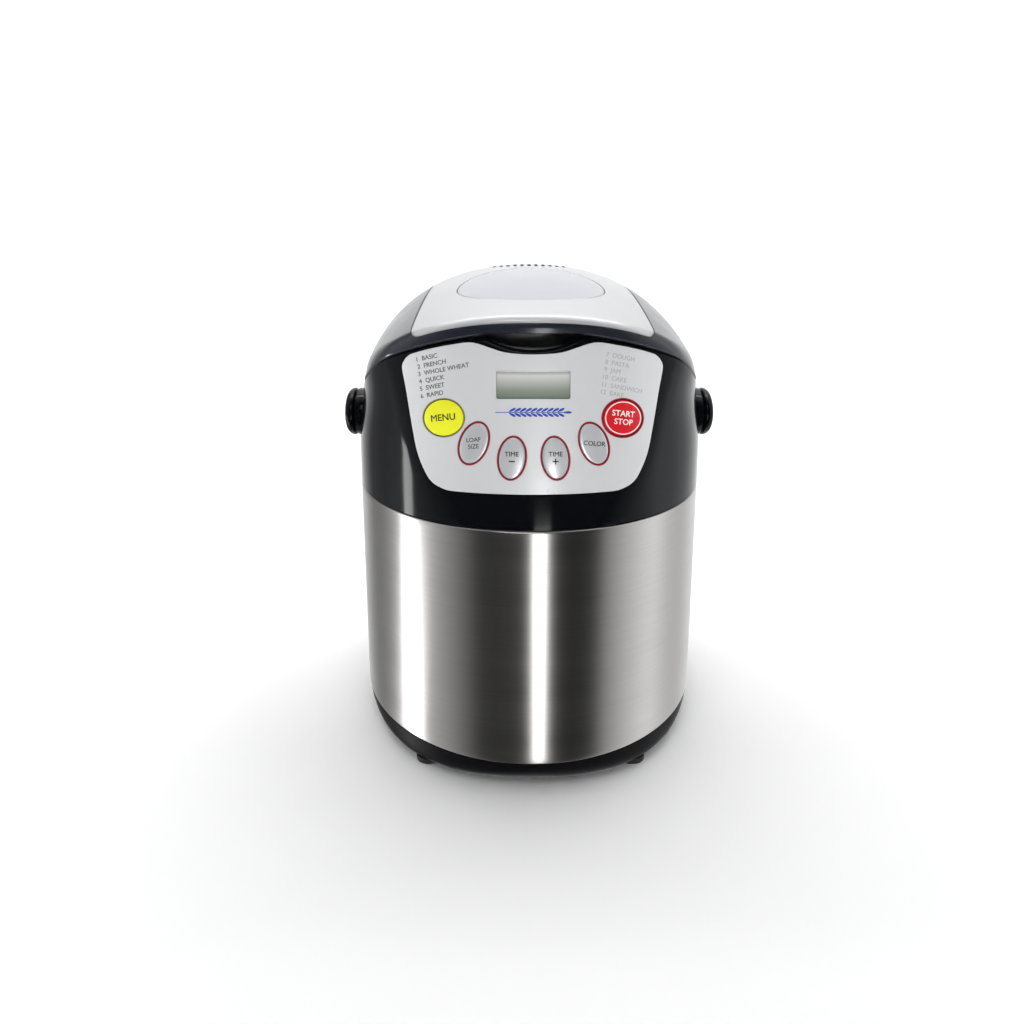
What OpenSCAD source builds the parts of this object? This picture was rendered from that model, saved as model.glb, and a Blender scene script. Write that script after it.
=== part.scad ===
// Bread machine, upright household type with a domed lid and a front control panel.
// Millimetres, +Z up, the front faces -Y, origin on the table under the middle of the body.

/* [Body] */
// Width of the housing without the side grips
body_w = 250; // [246:1:254]
// Depth of the housing
body_d = 342; // [338:1:346]
// Height over the top of the closed lid
body_h = 327; // [325:1:330]
// Height of the seam between the base tray and the steel wrap
wrap_bottom_z = 21; // [20:1:22]
// Height of the seam between the steel wrap and the upper housing
wrap_top_z = 175; // [174:1:176]
// Thickness of the moulded walls
wall = 4; // [3.6:0.1:4.4]
// Thickness of the steel wrap
steel_t = 1.2; // [0.8:0.1:1.4]
// Lean of the control panel away from upright, in degrees
face_tilt = 10; // [9:0.5:11]
// Radius of the curved front of the upper housing
face_r = 135; // [134:0.5:136]

/* [Lid] */
// Height of the lid seam at the rear
seam_rear_z = 230.8; // [230:0.2:232]
// Rise of the lid seam from the rear to the front
seam_rise = 58.7; // [57:0.1:59]
// Fall of the crown from its top to the front edge
crown_front_fall = 29; // [28:0.5:30]
// Thickness of the lid shell
lid_thick = 3; // [2.6:0.1:3.2]

/* [Window] */
// Half width of the oval window
window_a = 49.5; // [48:0.5:52]
// Half length of the oval window
window_b = 56; // [54:0.5:58]

/* [Baking chamber] */
// Half width of the baking chamber
chamber_a = 76; // [75:0.5:77]
// Depth of the baking chamber, front to rear
chamber_d = 200; // [198:1:202]
// Half width of the bread pan
pan_a = 62; // [61:0.5:62]
// Depth of the bread pan, front to rear
pan_d = 172; // [170:1:172]
// Height of the bread pan above its bottom
pan_h = 138; // [134:1:140]

/* [Drive] */
// Radius of the large pulley
pulley_r = 42; // [40:1:43]
// Radius of the drive shaft
shaft_r = 4; // [3.8:0.1:4.2]
// Distance between the motor shaft and the drive shaft
belt_span = 142; // [141:1:143]

/* [Hidden] */

$fn = 48;
eps = 0.02;

half_w = body_w / 2;
half_d = body_d / 2;
rim_n = 96;
lid_n = 72;
front_power = 2;
rear_power = 3;

// Control panel face: its lower front edge, and the parts stacked behind it
face_y = -half_d + 3;
fascia_t = 2;
board_depth = 27;
board_t = 1.6;
button_travel = 1.2;

// Lid
lid_front_y = -152;
lid_rear_y = 152;
lid_gap = 0.6;
dome_fall = 106;
dome_power = 2.2;
crown_y = 30;
panel_t = 2.4;
panel_y = -17;
window_y = -60;
liner_y = 24;
liner_drop = 14;

// Chamber, pan and drive all share this axis
axis_y = 24;
chamber_floor_z = 57;
chamber_top_z = 222;
jacket_z = 48;
pan_bottom_z = 70;
pan_wall = 1.5;
sheet_t = 1.2;
motor_y = axis_y - belt_span;
chassis_z = 30;
chassis_t = 2;
pulley_z = 12;
groove_r = pulley_r - 2.5;
small_pulley_r = 11;
small_groove_r = 8.5;

// Hinge
hinge_y = 160;
hinge_z = 238.5;
hinge_pin_r = 2.5;

// Grips, gland and feet
grip_z = 220;
vent_pitch = 5.15;
vent_r = 1.25;
vent_y = 21;
vent_length = 32;
// Side grip in layers outward from the wall: from, to, growth of the oval
grip_steps = [[-4, 2.4, 0], [2.4, 3.6, -2.4], [3.6, 7.4, 0], [7.4, 9.2, -1.6], [9.2, 10.2, -4]];
gland_x = 32;
gland_z = 48;
gland_end = half_d - 0.1;
gland_nose_r = 6.5;
cord_r = 3.6;
foot_h = 4;
floor_z = foot_h + 3;
foot_xy = [[-69, -126], [69, -126], [-80, 118], [80, 118]];
post_xy = [[-80, -75], [80, -75], [-80, 100], [80, 100]];
spacer_xy = [[-45, -36], [45, -36], [-45, 84], [45, 84]];

// Each button: x, z on the face, half width, half height, turn in degrees
MENU = [-53.8, 239.6, 12.2, 10.8, 0];
LOAF = [-35.4, 225.7, 7.9, 12.6, -22];
MINUS = [-12.6, 217.8, 7.7, 12.3, -7];
PLUS = [13.2, 217.8, 7.7, 12.3, 7];
COLOUR = [36.4, 225.4, 7.9, 12.6, 22];
START = [54.2, 239.4, 12.2, 10.8, 0];
BUTTONS = [MENU, LOAF, MINUS, PLUS, COLOUR, START];
ring_w = 1.3;
button_gap = 0.3;

// ---------- shared curves ----------

function spow(v, e) = sign(v) * pow(abs(v), e);

// Plan outline of the body: a half ellipse in front and a squarer half behind
function outline(a, b, n = rim_n, front = front_power) =
  [for (i = [0 : n - 1])
    let (t = i * 360 / n, e = 2 / (sin(t) < 0 ? front : rear_power))
    [a * spow(cos(t), e), b * spow(sin(t), e)]];

function body_outline(inset, n = rim_n) = outline(half_w - inset, half_d - inset, n);

// Rounded rectangle about a centre, as a high-power ellipse
function squircle(a, b, yc, power, n) =
  [for (i = [0 : n - 1])
    let (t = i * 360 / n)
    [a * spow(cos(t), 2 / power), yc + b * spow(sin(t), 2 / power)]];

function ellipse(a, b, n = 40) = [for (i = [0 : n - 1]) [a * cos(i * 360 / n), b * sin(i * 360 / n)]];

// Height of the seam between the housing and the lid
function seam_z(y) = seam_rear_z + seam_rise * pow(max(0, 154 - max(y, -148)) / 302, 3.1);

// Ridge line of the lid, front to rear
function crown_z(y) =
  body_h - (y < crown_y ? crown_front_fall * pow((crown_y - y) / (158 + crown_y), 1.6)
                        : 36 * pow((y - crown_y) / (158 - crown_y), 2));

// Fall of the dome to the sides
function side_fall(x) =
  dome_fall * (1 - pow(1 - pow(min(1, abs(x) / half_w), dome_power), 1 / dome_power));

function lid_z(x, y) = crown_z(y) - side_fall(x);

// Half width at which the dome is still a little above the seam
function lid_half_w(y) =
  half_w * pow(1 - pow(1 - min(1, (crown_z(y) - seam_z(y) - 4) / dome_fall), dome_power), 1 / dome_power);

function clamp(v, lo, hi) = min(hi, max(lo, v));

// Plan outline of the lid: the body's, cut by the curved front and by the hinge line
function lid_front(x, inset) =
  lid_front_y + face_r - sqrt(max(0, pow(face_r - inset, 2) - x * x));

function lid_rim(inset) =
  [for (p = body_outline(inset, lid_n))
    let (y = clamp(p[1], lid_front(p[0], inset), lid_rear_y - inset), w = lid_half_w(y) - inset)
    [clamp(p[0], -w, w), y]];

// Plan outline of the pale top panel: a curved front, near-straight sides, a curved rear
panel_front_b = 131;
panel_rear_b = 154;
panel_side = 72.1;
panel_taper = 1.5;
corner_power = 14;

function panel_r(t) =
  let (b = sin(t) < 0 ? panel_front_b : panel_rear_b,
       curved = 1 / sqrt(pow(cos(t) / panel_front_b, 2) + pow(sin(t) / b, 2)),
       side = panel_side / max(0.01, cos(panel_taper) * abs(cos(t)) + sin(panel_taper) * sin(t)))
  pow(pow(curved, -corner_power) + pow(side, -corner_power), -1 / corner_power);

function panel_rim(inset) =
  [for (p = lid_rim(0))
    let (t = atan2(p[1] - panel_y, p[0]), r = panel_r(t) - inset)
    [r * cos(t), panel_y + r * sin(t)]];

function window_rim(inset) =
  [for (p = panel_rim(0))
    let (t = atan2(p[1] - window_y, p[0]))
    [(window_a - inset) * cos(t), window_y + (window_b - inset) * sin(t)]];

function liner_rim(inset) = squircle(78 - inset, 98 - inset, liner_y, 7, lid_n);

glass_y = -26;
glass_gap = 0.3;
function glass_rim(inset) =
  [for (p = liner_rim(0))
    let (t = atan2(p[1] - glass_y, p[0]))
    [(44 - inset) * cos(t), glass_y + (40 - inset) * sin(t)]];

function mix(p, q, s) = [for (i = [0 : len(p) - 1]) p[i] + s * (q[i] - p[i])];

function at_z(rim, z) = [for (p = rim) [p[0], p[1], z]];

// A rim laid on the lid's outer surface, sunk by depth
function on_lid(rim, depth) = [for (p = rim) [p[0], p[1], lid_z(p[0], p[1]) - depth]];

// A rim laid on the seam, raised by rise
function on_seam(rim, rise) = [for (p = rim) [p[0], p[1], seam_z(p[1]) + rise]];

function centre_of(ring) = [for (k = [0 : 2]) [for (p = ring) p[k]] * [for (p = ring) 1] / len(ring)];

// ---------- shared solids ----------

function side_faces(n, k, closed) =
  [for (j = [0 : k - (closed ? 1 : 2)], i = [0 : n - 1])
    let (a = j * n + i, b = ((j + 1) % k) * n + i, c = ((j + 1) % k) * n + (i + 1) % n,
         d = j * n + (i + 1) % n)
    each [[a, b, c], [a, c, d]]];

// Closed tube through rings that go up the outside and down the inside
module ring_solid(rings) {
  n = len(rings[0]);
  polyhedron([for (r = rings) each r], side_faces(n, len(rings), true));
}

// Stack of rings closed by a fan at both ends
module loft(rings) {
  n = len(rings[0]);
  k = len(rings);
  fans = [for (i = [0 : n - 1])
    each [[n * k, i, (i + 1) % n], [n * k + 1, (k - 1) * n + (i + 1) % n, (k - 1) * n + i]]];
  points = [each [for (r = rings) each r], centre_of(rings[0]), centre_of(rings[k - 1])];
  polyhedron(points, concat(side_faces(n, k, false), fans));
}

module tube(r_out, r_in, h) {
  difference() {
    cylinder(r = r_out, h = h);
    translate([0, 0, -1]) cylinder(r = r_in, h = h + 2);
  }
}

module block(x0, x1, y0, y1, z0, z1) {
  translate([x0, y0, z0]) cube([x1 - x0, y1 - y0, z1 - z0]);
}

// Prism whose outline lies in the Y-Z plane, from x0 to x1
module cross_prism(points, x0, x1) {
  translate([x0, 0, 0]) rotate([90, 0, 90]) linear_extrude(x1 - x0) polygon(points);
}

// Rounded box outline with true arcs, walls upright
module rounded_plan(a, y0, y1, r) {
  square_a = a - r;
  polygon([for (c = [[1, 1, 0], [-1, 1, 90], [-1, -1, 180], [1, -1, 270]], s = [0 : 15 : 90])
    [c[0] * square_a + r * cos(c[2] + s), (c[1] > 0 ? y1 - r : y0 + r) + r * sin(c[2] + s)]]);
}

// Round-head screw pointing down from its head's underside at z = 0
module screw(shank_r, length, head_r, head_h) {
  difference() {
    union() {
      translate([0, 0, -length]) cylinder(r = shank_r, h = length + eps, $fn = 24);
      cylinder(r = head_r, h = head_h, $fn = 32);
    }
    translate([0, 0, head_h * 0.4]) {
      block(-head_r * 0.6, head_r * 0.6, -0.4, 0.4, 0, head_h);
      block(-0.4, 0.4, -head_r * 0.6, head_r * 0.6, 0, head_h);
    }
  }
}

// ---------- the tilted control face ----------

// Local frame of the face: x across, y inward, z up along the slope
module on_face() {
  translate([0, face_y, wrap_top_z]) rotate([-face_tilt, 0, 0]) children();
}

// How far the curved face has fallen back at x
function face_back(x) = face_r - sqrt(face_r * face_r - x * x);

// Slope height of the point of the face at x and at height z
function face_up(x, z) = (z - wrap_top_z + face_back(x) * sin(face_tilt)) / cos(face_tilt);

// The curved front as a solid, sunk by inset; only the front is cut by it
module front_form(inset) {
  on_face() translate([0, face_r, -60]) cylinder(r = face_r - inset, h = 260, $fn = 96);
  block(-200, 200, -30, 200, 60, 320);
}

// Slice of the curved face between two depths below its surface
module face_shell(depth0, depth1) {
  translate([0, face_r, 0]) difference() {
    cylinder(r = face_r - depth0, h = 130, $fn = 96);
    translate([0, 0, -1]) cylinder(r = face_r - depth1, h = 132, $fn = 96);
  }
}

// Prism through the face with an outline given by x and height along the slope
module face_prism(points, depth = 60) {
  translate([0, -10, 0]) rotate([-90, 0, 0]) mirror([0, 1, 0]) linear_extrude(depth + 10) polygon(points);
}

// The face's own slice of an outline
module face_patch(points, depth0, depth1) {
  intersection() {
    face_shell(depth0, depth1);
    face_prism(points);
  }
}

function turned(points, b) =
  [for (p = points)
    [b[0] + p[0] * cos(b[4]) - p[1] * sin(b[4]),
       face_up(b[0], b[1]) + p[0] * sin(b[4]) + p[1] * cos(b[4])]];

function button_outline(b, grow) = turned(ellipse(b[2] + grow, b[3] + grow), b);

// Half outline of the fascia, bottom centre to top centre, as x and height
FASCIA_HALF = [
  [0, 196.5], [50, 196.5], [54.5, 197.4], [60.5, 200], [65, 205], [70.5, 217],
  [74, 233], [77.7, 254], [80.2, 267], [79, 271.5], [76.6, 274.4], [73.4, 276.3],
  [63, 279.6], [51, 282.4], [39.5, 284.4], [33, 283.8], [25, 281.4], [15.5, 278.9],
  [0, 278]
];
function fascia_side(s) = [for (p = FASCIA_HALF) [s * p[0], face_up(p[0], p[1])]];
function reversed(v) = [for (i = [len(v) - 1 : -1 : 0]) v[i]];
function fascia_outline() = concat(fascia_side(1), [for (p = reversed(fascia_side(-1))) if (p[0] < 0) p]);

lcd_x = 22;
lcd_z0 = 252.4;
lcd_z1 = 268.8;
function lcd_outline(grow) =
  [for (c = [[1, 1, 0], [-1, 1, 90], [-1, -1, 180], [1, -1, 270]], s = [0 : 30 : 90])
    let (r = 2)
    [c[0] * (lcd_x + grow - r) + r * cos(c[2] + s),
     face_up(0, c[1] > 0 ? lcd_z1 + grow - r : lcd_z0 - grow + r) + r * sin(c[2] + s)]];

// ---------- base ----------

function base_ring(z, shrink, power) =
  at_z(outline(half_w - shrink, half_d - shrink, rim_n, power), z);

module base_tray() color("#1b1b1d") difference() {
  union() {
    loft([
      base_ring(foot_h, 11.6, 2.4), base_ring(9, 6, 2.25), base_ring(14, 2.2, 2.1),
      base_ring(wrap_bottom_z, 0, 2), base_ring(wrap_bottom_z, steel_t + 0.2, 2),
      base_ring(wrap_bottom_z + 7, steel_t + 0.2, 2), base_ring(wrap_bottom_z + 7, wall, 2),
      base_ring(14, 5.8, 2.1), base_ring(9, 9, 2.25), base_ring(floor_z, 14.2, 2.4)
    ]);
    for (p = foot_xy) translate([p[0], p[1], floor_z]) cylinder(r = 5, h = 11);
    for (p = post_xy) translate([p[0], p[1], floor_z]) cylinder(r = 5, h = chassis_z - floor_z);
  }
  for (p = foot_xy) translate([p[0], p[1], 0]) cylinder(r = 1.5, h = 16, $fn = 24);
  for (p = post_xy) translate([p[0], p[1], chassis_z - 14]) cylinder(r = 1.5, h = 20, $fn = 24);
  for (x = [-48 : 12 : 48]) block(x - 2, x + 2, -100, -60, 0, 8);
}

module rubber_feet() color("#101010") for (p = foot_xy) translate([p[0], p[1], 0]) difference() {
  cylinder(r = 9, h = foot_h);
  translate([0, 0, -1]) cylinder(r = 4, h = 3.2);
  cylinder(r = 1.8, h = 10, $fn = 24);
}

module base_screws() color("#9a9da2") for (p = foot_xy)
  translate([p[0], p[1], 2.2]) mirror([0, 0, 1]) screw(1.5, 11, 3.2, 1.6);

// Brushed sheet round the body, with louvres in its right flank and a hole for the cord
module steel_wrap() difference() {
  translate([0, 0, wrap_bottom_z])
    linear_extrude(wrap_top_z - wrap_bottom_z) polygon(body_outline(0));
  translate([0, 0, wrap_bottom_z - 1])
    linear_extrude(wrap_top_z - wrap_bottom_z + 1 - steel_t) polygon(body_outline(steel_t));
  translate([0, 0, wrap_bottom_z]) linear_extrude(wrap_top_z) polygon(body_outline(wall + 0.2));
  for (i = [0 : 7]) block(100, 140, 2, 26, 106 + 6 * i, 108.6 + 6 * i);
  translate([gland_x, half_d - 30, gland_z]) rotate([-90, 0, 0]) cylinder(r = gland_nose_r + 0.1, h = 60);
}

// The wrap is two sheets that meet at the flanks
module steel_front() color("#b9bcc0") intersection() {
  steel_wrap();
  block(-half_w - 1, half_w + 1, -half_d - 1, 0, 0, wrap_top_z + 1);
}

module steel_rear() color("#b9bcc0") intersection() {
  steel_wrap();
  block(-half_w - 1, half_w + 1, 0, half_d + 1, 0, wrap_top_z + 1);
}

// ---------- upper housing ----------

function seam_profile(drop, z0) =
  concat([[half_d + 20, z0], [-half_d - 20, z0]],
         [for (y = [-half_d - 20, for (k = [-156 : 12 : 156]) k, half_d + 20])
           [y, seam_z(clamp(y, -156, 156)) - drop]]);

module upper_form(inset, drop, z0) intersection() {
  translate([0, 0, z0]) linear_extrude(140) polygon(body_outline(inset));
  front_form(inset);
  cross_prism(seam_profile(drop, z0), -half_w - 5, half_w + 5);
}

chamber_y0 = axis_y - chamber_d / 2;
chamber_y1 = axis_y + chamber_d / 2;
skirt = 4;

module scoop_cut() {
  scoop_r = 62;
  translate([0, -160, 280.3 + scoop_r]) rotate([-90, 0, 0]) cylinder(r = scoop_r, h = 37, $fn = 96);
}

module ear(x0, x1) {
  difference() {
    union() {
      translate([x0, hinge_y, hinge_z]) rotate([0, 90, 0]) cylinder(r = 6, h = x1 - x0);
      block(x0, x1, hinge_y - 6, hinge_y + 6, seam_rear_z - 2, hinge_z);
    }
    translate([x0 - 1, hinge_y, hinge_z]) rotate([0, 90, 0])
      cylinder(r = hinge_pin_r + 0.02, h = x1 - x0 + 2);
  }
}

module grip_outline(grow) {
  polygon(ellipse(25 + grow, 17.5 + grow, 48));
}

// Oval along X, from x0 to x1 on the right-hand side
module grip_prism(x0, x1, grow) {
  translate([x0, 0, grip_z]) rotate([90, 0, 90]) linear_extrude(x1 - x0) grip_outline(grow);
}

module upper_housing() color("#26282d") {
  difference() {
    union() {
      difference() {
        upper_form(0, 0, wrap_top_z);
        upper_form(wall, wall, wrap_top_z - 2);
      }
      // floor of the finger scoop under the lid's front edge
      intersection() {
        upper_form(0, 0, wrap_top_z);
        block(-42, 42, -160, -122, 274, 300);
      }
      // skirt around the chamber mouth
      intersection() {
        block(-chamber_a - skirt - 3.6, chamber_a + skirt + 3.6, chamber_y0 - skirt - 3.6,
              chamber_y1 + skirt + 3.6, chamber_top_z + sheet_t, 300);
        upper_form(0, 0, wrap_top_z);
      }
      // posts that carry the control board
      on_face() for (p = board_hole)
        translate([p[0], face_back(p[0]) + 2.4, p[1]]) rotate([-90, 0, 0])
          cylinder(r = 4, h = board_depth - face_back(p[0]) - 2.4);
      difference() {
        translate([0, 0, wrap_top_z - 10]) linear_extrude(13) polygon(body_outline(wall + 0.4));
        translate([0, 0, wrap_top_z - 11]) linear_extrude(20) polygon(body_outline(wall + 3));
      }
    }
    block(-chamber_a - skirt, chamber_a + skirt, chamber_y0 - skirt, chamber_y1 + skirt, 200, 320);
    scoop_cut();
    on_face() {
      face_prism_front(fascia_outline(), fascia_t);
      for (b = BUTTONS) face_prism(button_outline(b, ring_w));
      face_prism(lcd_outline(-1.5));
      for (p = board_hole)
        translate([p[0], board_depth - 8, p[1]]) rotate([-90, 0, 0]) cylinder(r = 1.5, h = 9, $fn = 24);
    }
    for (s = [0, 1]) mirror([s, 0, 0]) {
      grip_prism(100, 150, 0.1);
      block(100, 150, -24, 24, 189, 191.4);
    }
  }
  for (s = [0, 1]) mirror([s, 0, 0]) {
    ear(48, 54);
    ear(66, 72);
  }
}

// Everything of a face outline that lies in front of a given depth
module face_prism_front(points, depth) {
  difference() {
    face_prism(points);
    translate([0, face_r, -5]) cylinder(r = face_r - depth - 0.1, h = 140, $fn = 96);
  }
}

module grip() {
  for (step = grip_steps) grip_prism(half_w + step[0], half_w + step[1], step[2]);
}

module side_grip_right() color("#2b2d31") grip();
module side_grip_left() color("#2b2d31") mirror([1, 0, 0]) grip();

// ---------- control panel ----------

module fascia() color("#d9dadc") on_face() difference() {
  face_patch(fascia_outline(), 0, fascia_t);
  for (b = BUTTONS) face_prism(button_outline(b, ring_w));
  face_prism(lcd_outline(0.1));
}

module button_rings() color("#7c1f28") on_face() for (b = BUTTONS) difference() {
  face_patch(button_outline(b, ring_w - 0.05), -0.4, fascia_t);
  face_prism(button_outline(b, button_gap));
}

module lcd_lens() color("#5f6b61") on_face() face_patch(lcd_outline(0), 0.2, fascia_t);

module lcd_module() color("#31543a") on_face()
  block(-lcd_x + 3, lcd_x - 3, 7, board_depth, face_up(0, lcd_z0) + 1, face_up(0, lcd_z1) - 1);

// Cap through the face, and a stem that stops just short of its switch
module button(b, tint) color(tint) on_face() {
  face_patch(button_outline(b, 0), -1.2, 4.5);
  stem_z = face_up(b[0], b[1]);
  block(b[0] - 2.5, b[0] + 2.5, face_back(b[0]) + 4, board_depth - 4.8 - button_travel - 0.2,
        stem_z - 2.5, stem_z + 2.5);
}

module menu_button() button(MENU, "#e3b83a");
module loaf_button() button(LOAF, "#cfd0d2");
module minus_button() button(MINUS, "#cfd0d2");
module plus_button() button(PLUS, "#cfd0d2");
module colour_button() button(COLOUR, "#cfd0d2");
module start_button() button(START, "#b3202c");

board_x = 64;
board_z0 = 24;
board_z1 = 99;
board_hole = [[-58, 30], [58, 30], [-58, 93], [58, 93]];

module control_board() color("#1f5a36") on_face() difference() {
  block(-board_x, board_x, board_depth, board_depth + board_t, board_z0, board_z1);
  for (p = board_hole)
    translate([p[0], board_depth - 1, p[1]]) rotate([-90, 0, 0]) cylinder(r = 1.6, h = 5, $fn = 24);
}

module tact_switches() color("#3a3a3d") on_face() for (b = BUTTONS)
  translate([b[0], board_depth, face_up(b[0], b[1])]) {
    block(-3, 3, -3.5, 0, -3, 3);
    translate([0, -4.8, 0]) rotate([-90, 0, 0]) cylinder(r = 1.7, h = 1.4, $fn = 24);
  }

module board_screws() color("#a9abb0") on_face() for (p = board_hole)
  translate([p[0], board_depth + board_t, p[1]]) rotate([-90, 0, 0]) screw(1.5, 6, 3, 1.8);

// ---------- chamber ----------

module chamber_liner() color("#a8abae") difference() {
  union() {
    translate([0, 0, chamber_floor_z - sheet_t]) linear_extrude(chamber_top_z - chamber_floor_z + sheet_t)
      rounded_plan(chamber_a + sheet_t, chamber_y0 - sheet_t, chamber_y1 + sheet_t, 16);
    translate([0, 0, chamber_top_z])
      linear_extrude(sheet_t)
        rounded_plan(chamber_a + skirt + 3, chamber_y0 - skirt - 3, chamber_y1 + skirt + 3, 18);
  }
  difference() {
    translate([0, 0, chamber_floor_z])
      linear_extrude(200) rounded_plan(chamber_a, chamber_y0, chamber_y1, 15);
    // raised seat that locates the pan
    translate([0, axis_y, chamber_floor_z - 1]) tube(35, 32, 6);
  }
  translate([0, axis_y, 40]) cylinder(r = 6, h = 40);
  for (x = [-16, 16])
    translate([x, chamber_y1 - 5, element_z]) rotate([-90, 0, 0]) cylinder(r = 5.5, h = 30);
  translate([30, chamber_y0 - 10, 130]) rotate([-90, 0, 0]) cylinder(r = 3.1, h = 30);
}

module heat_jacket() color("#8d9093") difference() {
  translate([0, 0, jacket_z]) linear_extrude(166) rounded_plan(86, chamber_y0 - 10, chamber_y1 + 10, 20);
  translate([0, 0, jacket_z + 1]) linear_extrude(200) rounded_plan(85, chamber_y0 - 9, chamber_y1 + 9, 19);
  translate([0, axis_y, 40]) cylinder(r = 30, h = 30);
  for (x = [-16, 16])
    translate([x, chamber_y1 - 5, element_z]) rotate([-90, 0, 0]) cylinder(r = 5.5, h = 30);
  translate([30, chamber_y0 - 30, 130]) rotate([-90, 0, 0]) cylinder(r = 3.1, h = 50);
}

element_z = 85;
element_r = 3.3;
element_x = 69;
element_bend = 22;

// Right half of the element's route, from the middle of the front to the tail at the rear
function arc(x, y, r, t0, t1) =
  [for (s = [0 : 6]) let (t = t0 + s * (t1 - t0) / 6) [x + r * cos(t), y + r * sin(t)]];
tail_r = 8;
tail_x = 16;
function half_route() =
  let (y0 = chamber_y0 + 7, y1 = chamber_y1 - 7, x = element_x - element_bend)
  concat(arc(x, y0 + element_bend, element_bend, 270, 360), arc(x, y1 - element_bend, element_bend, 0, 90),
         arc(tail_x + tail_r, y1 + tail_r, tail_r, 270, 180), [[tail_x, chamber_y1 + 26]]);
function route() = concat([for (p = reversed(half_route())) [-p[0], p[1]]], half_route());

// Ring of a tube round a point of a flat route, square to the route there
function tube_ring(path, i, r, z, sides) =
  let (a = path[max(0, i - 1)], b = path[min(len(path) - 1, i + 1)], u = (b - a) / norm(b - a))
  [for (k = [0 : sides - 1])
    let (t = k * 360 / sides)
    [path[i][0] + r * cos(t) * u[1], path[i][1] - r * cos(t) * u[0], z + r * sin(t)]];

module heating_element() color("#55585c") {
  path = route();
  loft([for (i = [len(path) - 1 : -1 : 0]) tube_ring(path, i, element_r, element_z, 14)]);
}

module element_bushes() color("#e7e2d6") for (x = [-16, 16])
  translate([x, chamber_y1 + 0.5, element_z]) rotate([-90, 0, 0]) tube(5.4, element_r + 0.05, 14);

module temperature_sensor() color("#c7c9cc") translate([30, chamber_y0 + 6, 130]) rotate([90, 0, 0]) {
  cylinder(r = 3, h = 26);
  translate([0, 0, 17]) cylinder(r = 6, h = 3);
}

module thermal_fuse() color("#d8d3c4") translate([-40, chamber_y0 - 14.2, 120]) rotate([0, 90, 0])
  cylinder(r = 4, h = 22);

// ---------- chassis and drive ----------

module chassis_plate() color("#7f8286") difference() {
  translate([0, 0, chassis_z]) linear_extrude(chassis_t) polygon(body_outline(12));
  translate([0, axis_y, chassis_z - 1]) cylinder(r = 14.2, h = 10);
  translate([0, motor_y, chassis_z - 1]) cylinder(r = 10, h = 10);
  for (p = post_xy) translate([p[0], p[1], chassis_z - 1]) cylinder(r = 1.7, h = 10, $fn = 24);
  for (s = [-1, 1]) block(s * 70 - 12, s * 70 + 12, -40, 60, chassis_z - 1, chassis_z + 5);
}

module chassis_screws() color("#9a9da2") {
  for (p = post_xy) translate([p[0], p[1], chassis_z + chassis_t]) screw(1.5, 13, 3.2, 2);
  for (s = [-1, 1]) translate([s * 36, motor_y, 43]) screw(1.5, 10, 3.2, 2);
}

// Spacers under the heat jacket and between it and the chamber
module chamber_posts() color("#8a8d90") for (p = spacer_xy) translate([p[0], p[1], 0]) {
  translate([0, 0, chassis_z + chassis_t]) cylinder(r = 5, h = jacket_z - chassis_z - chassis_t);
  translate([0, 0, jacket_z + 1]) cylinder(r = 5, h = chamber_floor_z - sheet_t - jacket_z - 1);
}

module bearing_housing() color("#96999d") difference() {
  translate([0, axis_y, 0]) {
    translate([0, 0, 24.5]) cylinder(r = 14, h = 25);
    translate([0, 0, chassis_z + chassis_t]) cylinder(r = 28, h = 4);
  }
  translate([0, axis_y, 20]) cylinder(r = 8, h = 40);
}

module bearing_bushes() color("#b08a4a") translate([0, axis_y, 0]) {
  translate([0, 0, 25]) tube(8, shaft_r + 0.04, 9);
  translate([0, 0, 40]) tube(8, shaft_r + 0.04, 9);
}

module drive_shaft() color("#c9ccd0") translate([0, axis_y, 11]) cylinder(r = shaft_r, h = 49);

module drive_coupling() color("#b6b9bd") translate([0, axis_y, 0]) {
  translate([0, 0, 60]) cylinder(r = 13, h = 2);
  for (s = [-1, 1]) block(s * 9.5 - 2.5, s * 9.5 + 2.5, -3, 3, 61.5, 66.5);
}

// Pulley with a flat belt groove, standing on z = 0
module pulley(r, groove, bore, web) {
  difference() {
    rotate_extrude($fn = 96) polygon([
      [bore, 0], [r, 0], [r, 2], [groove, 2.4], [groove, 7.6], [r, 8], [r, 10], [bore, 10]
    ]);
    if (web > 0) {
      translate([0, 0, 6]) tube(groove - 4, 11, 10);
      for (a = [0 : 60 : 300]) rotate([0, 0, a]) translate([web, 0, -1]) cylinder(r = 6, h = 12);
    }
  }
}

module large_pulley() color("#3b3c3f") translate([0, axis_y, pulley_z])
  pulley(pulley_r, groove_r, shaft_r, 25);

module motor_pulley() color("#3b3c3f") translate([0, motor_y, pulley_z])
  pulley(small_pulley_r, small_groove_r, 3, 0);

// Open belt round two pulleys, both arcs joined by straight runs
function belt_points(grow) =
  let (lean = asin((groove_r - small_groove_r) / belt_span))
  concat(
    [for (t = [-lean : 10 : 180 + lean]) [(groove_r + grow) * cos(t), axis_y + (groove_r + grow) * sin(t)]],
    [for (t = [180 + lean : 10 : 360 - lean])
      [(small_groove_r + grow) * cos(t), motor_y + (small_groove_r + grow) * sin(t)]]);

module drive_belt() color("#151515") translate([0, 0, pulley_z + 2.9]) linear_extrude(4.2) difference() {
  polygon(belt_points(2.8));
  polygon(belt_points(0.5));
}

module motor_shaft() color("#c9ccd0") translate([0, motor_y, 11]) cylinder(r = 3, h = 27.6);

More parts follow.
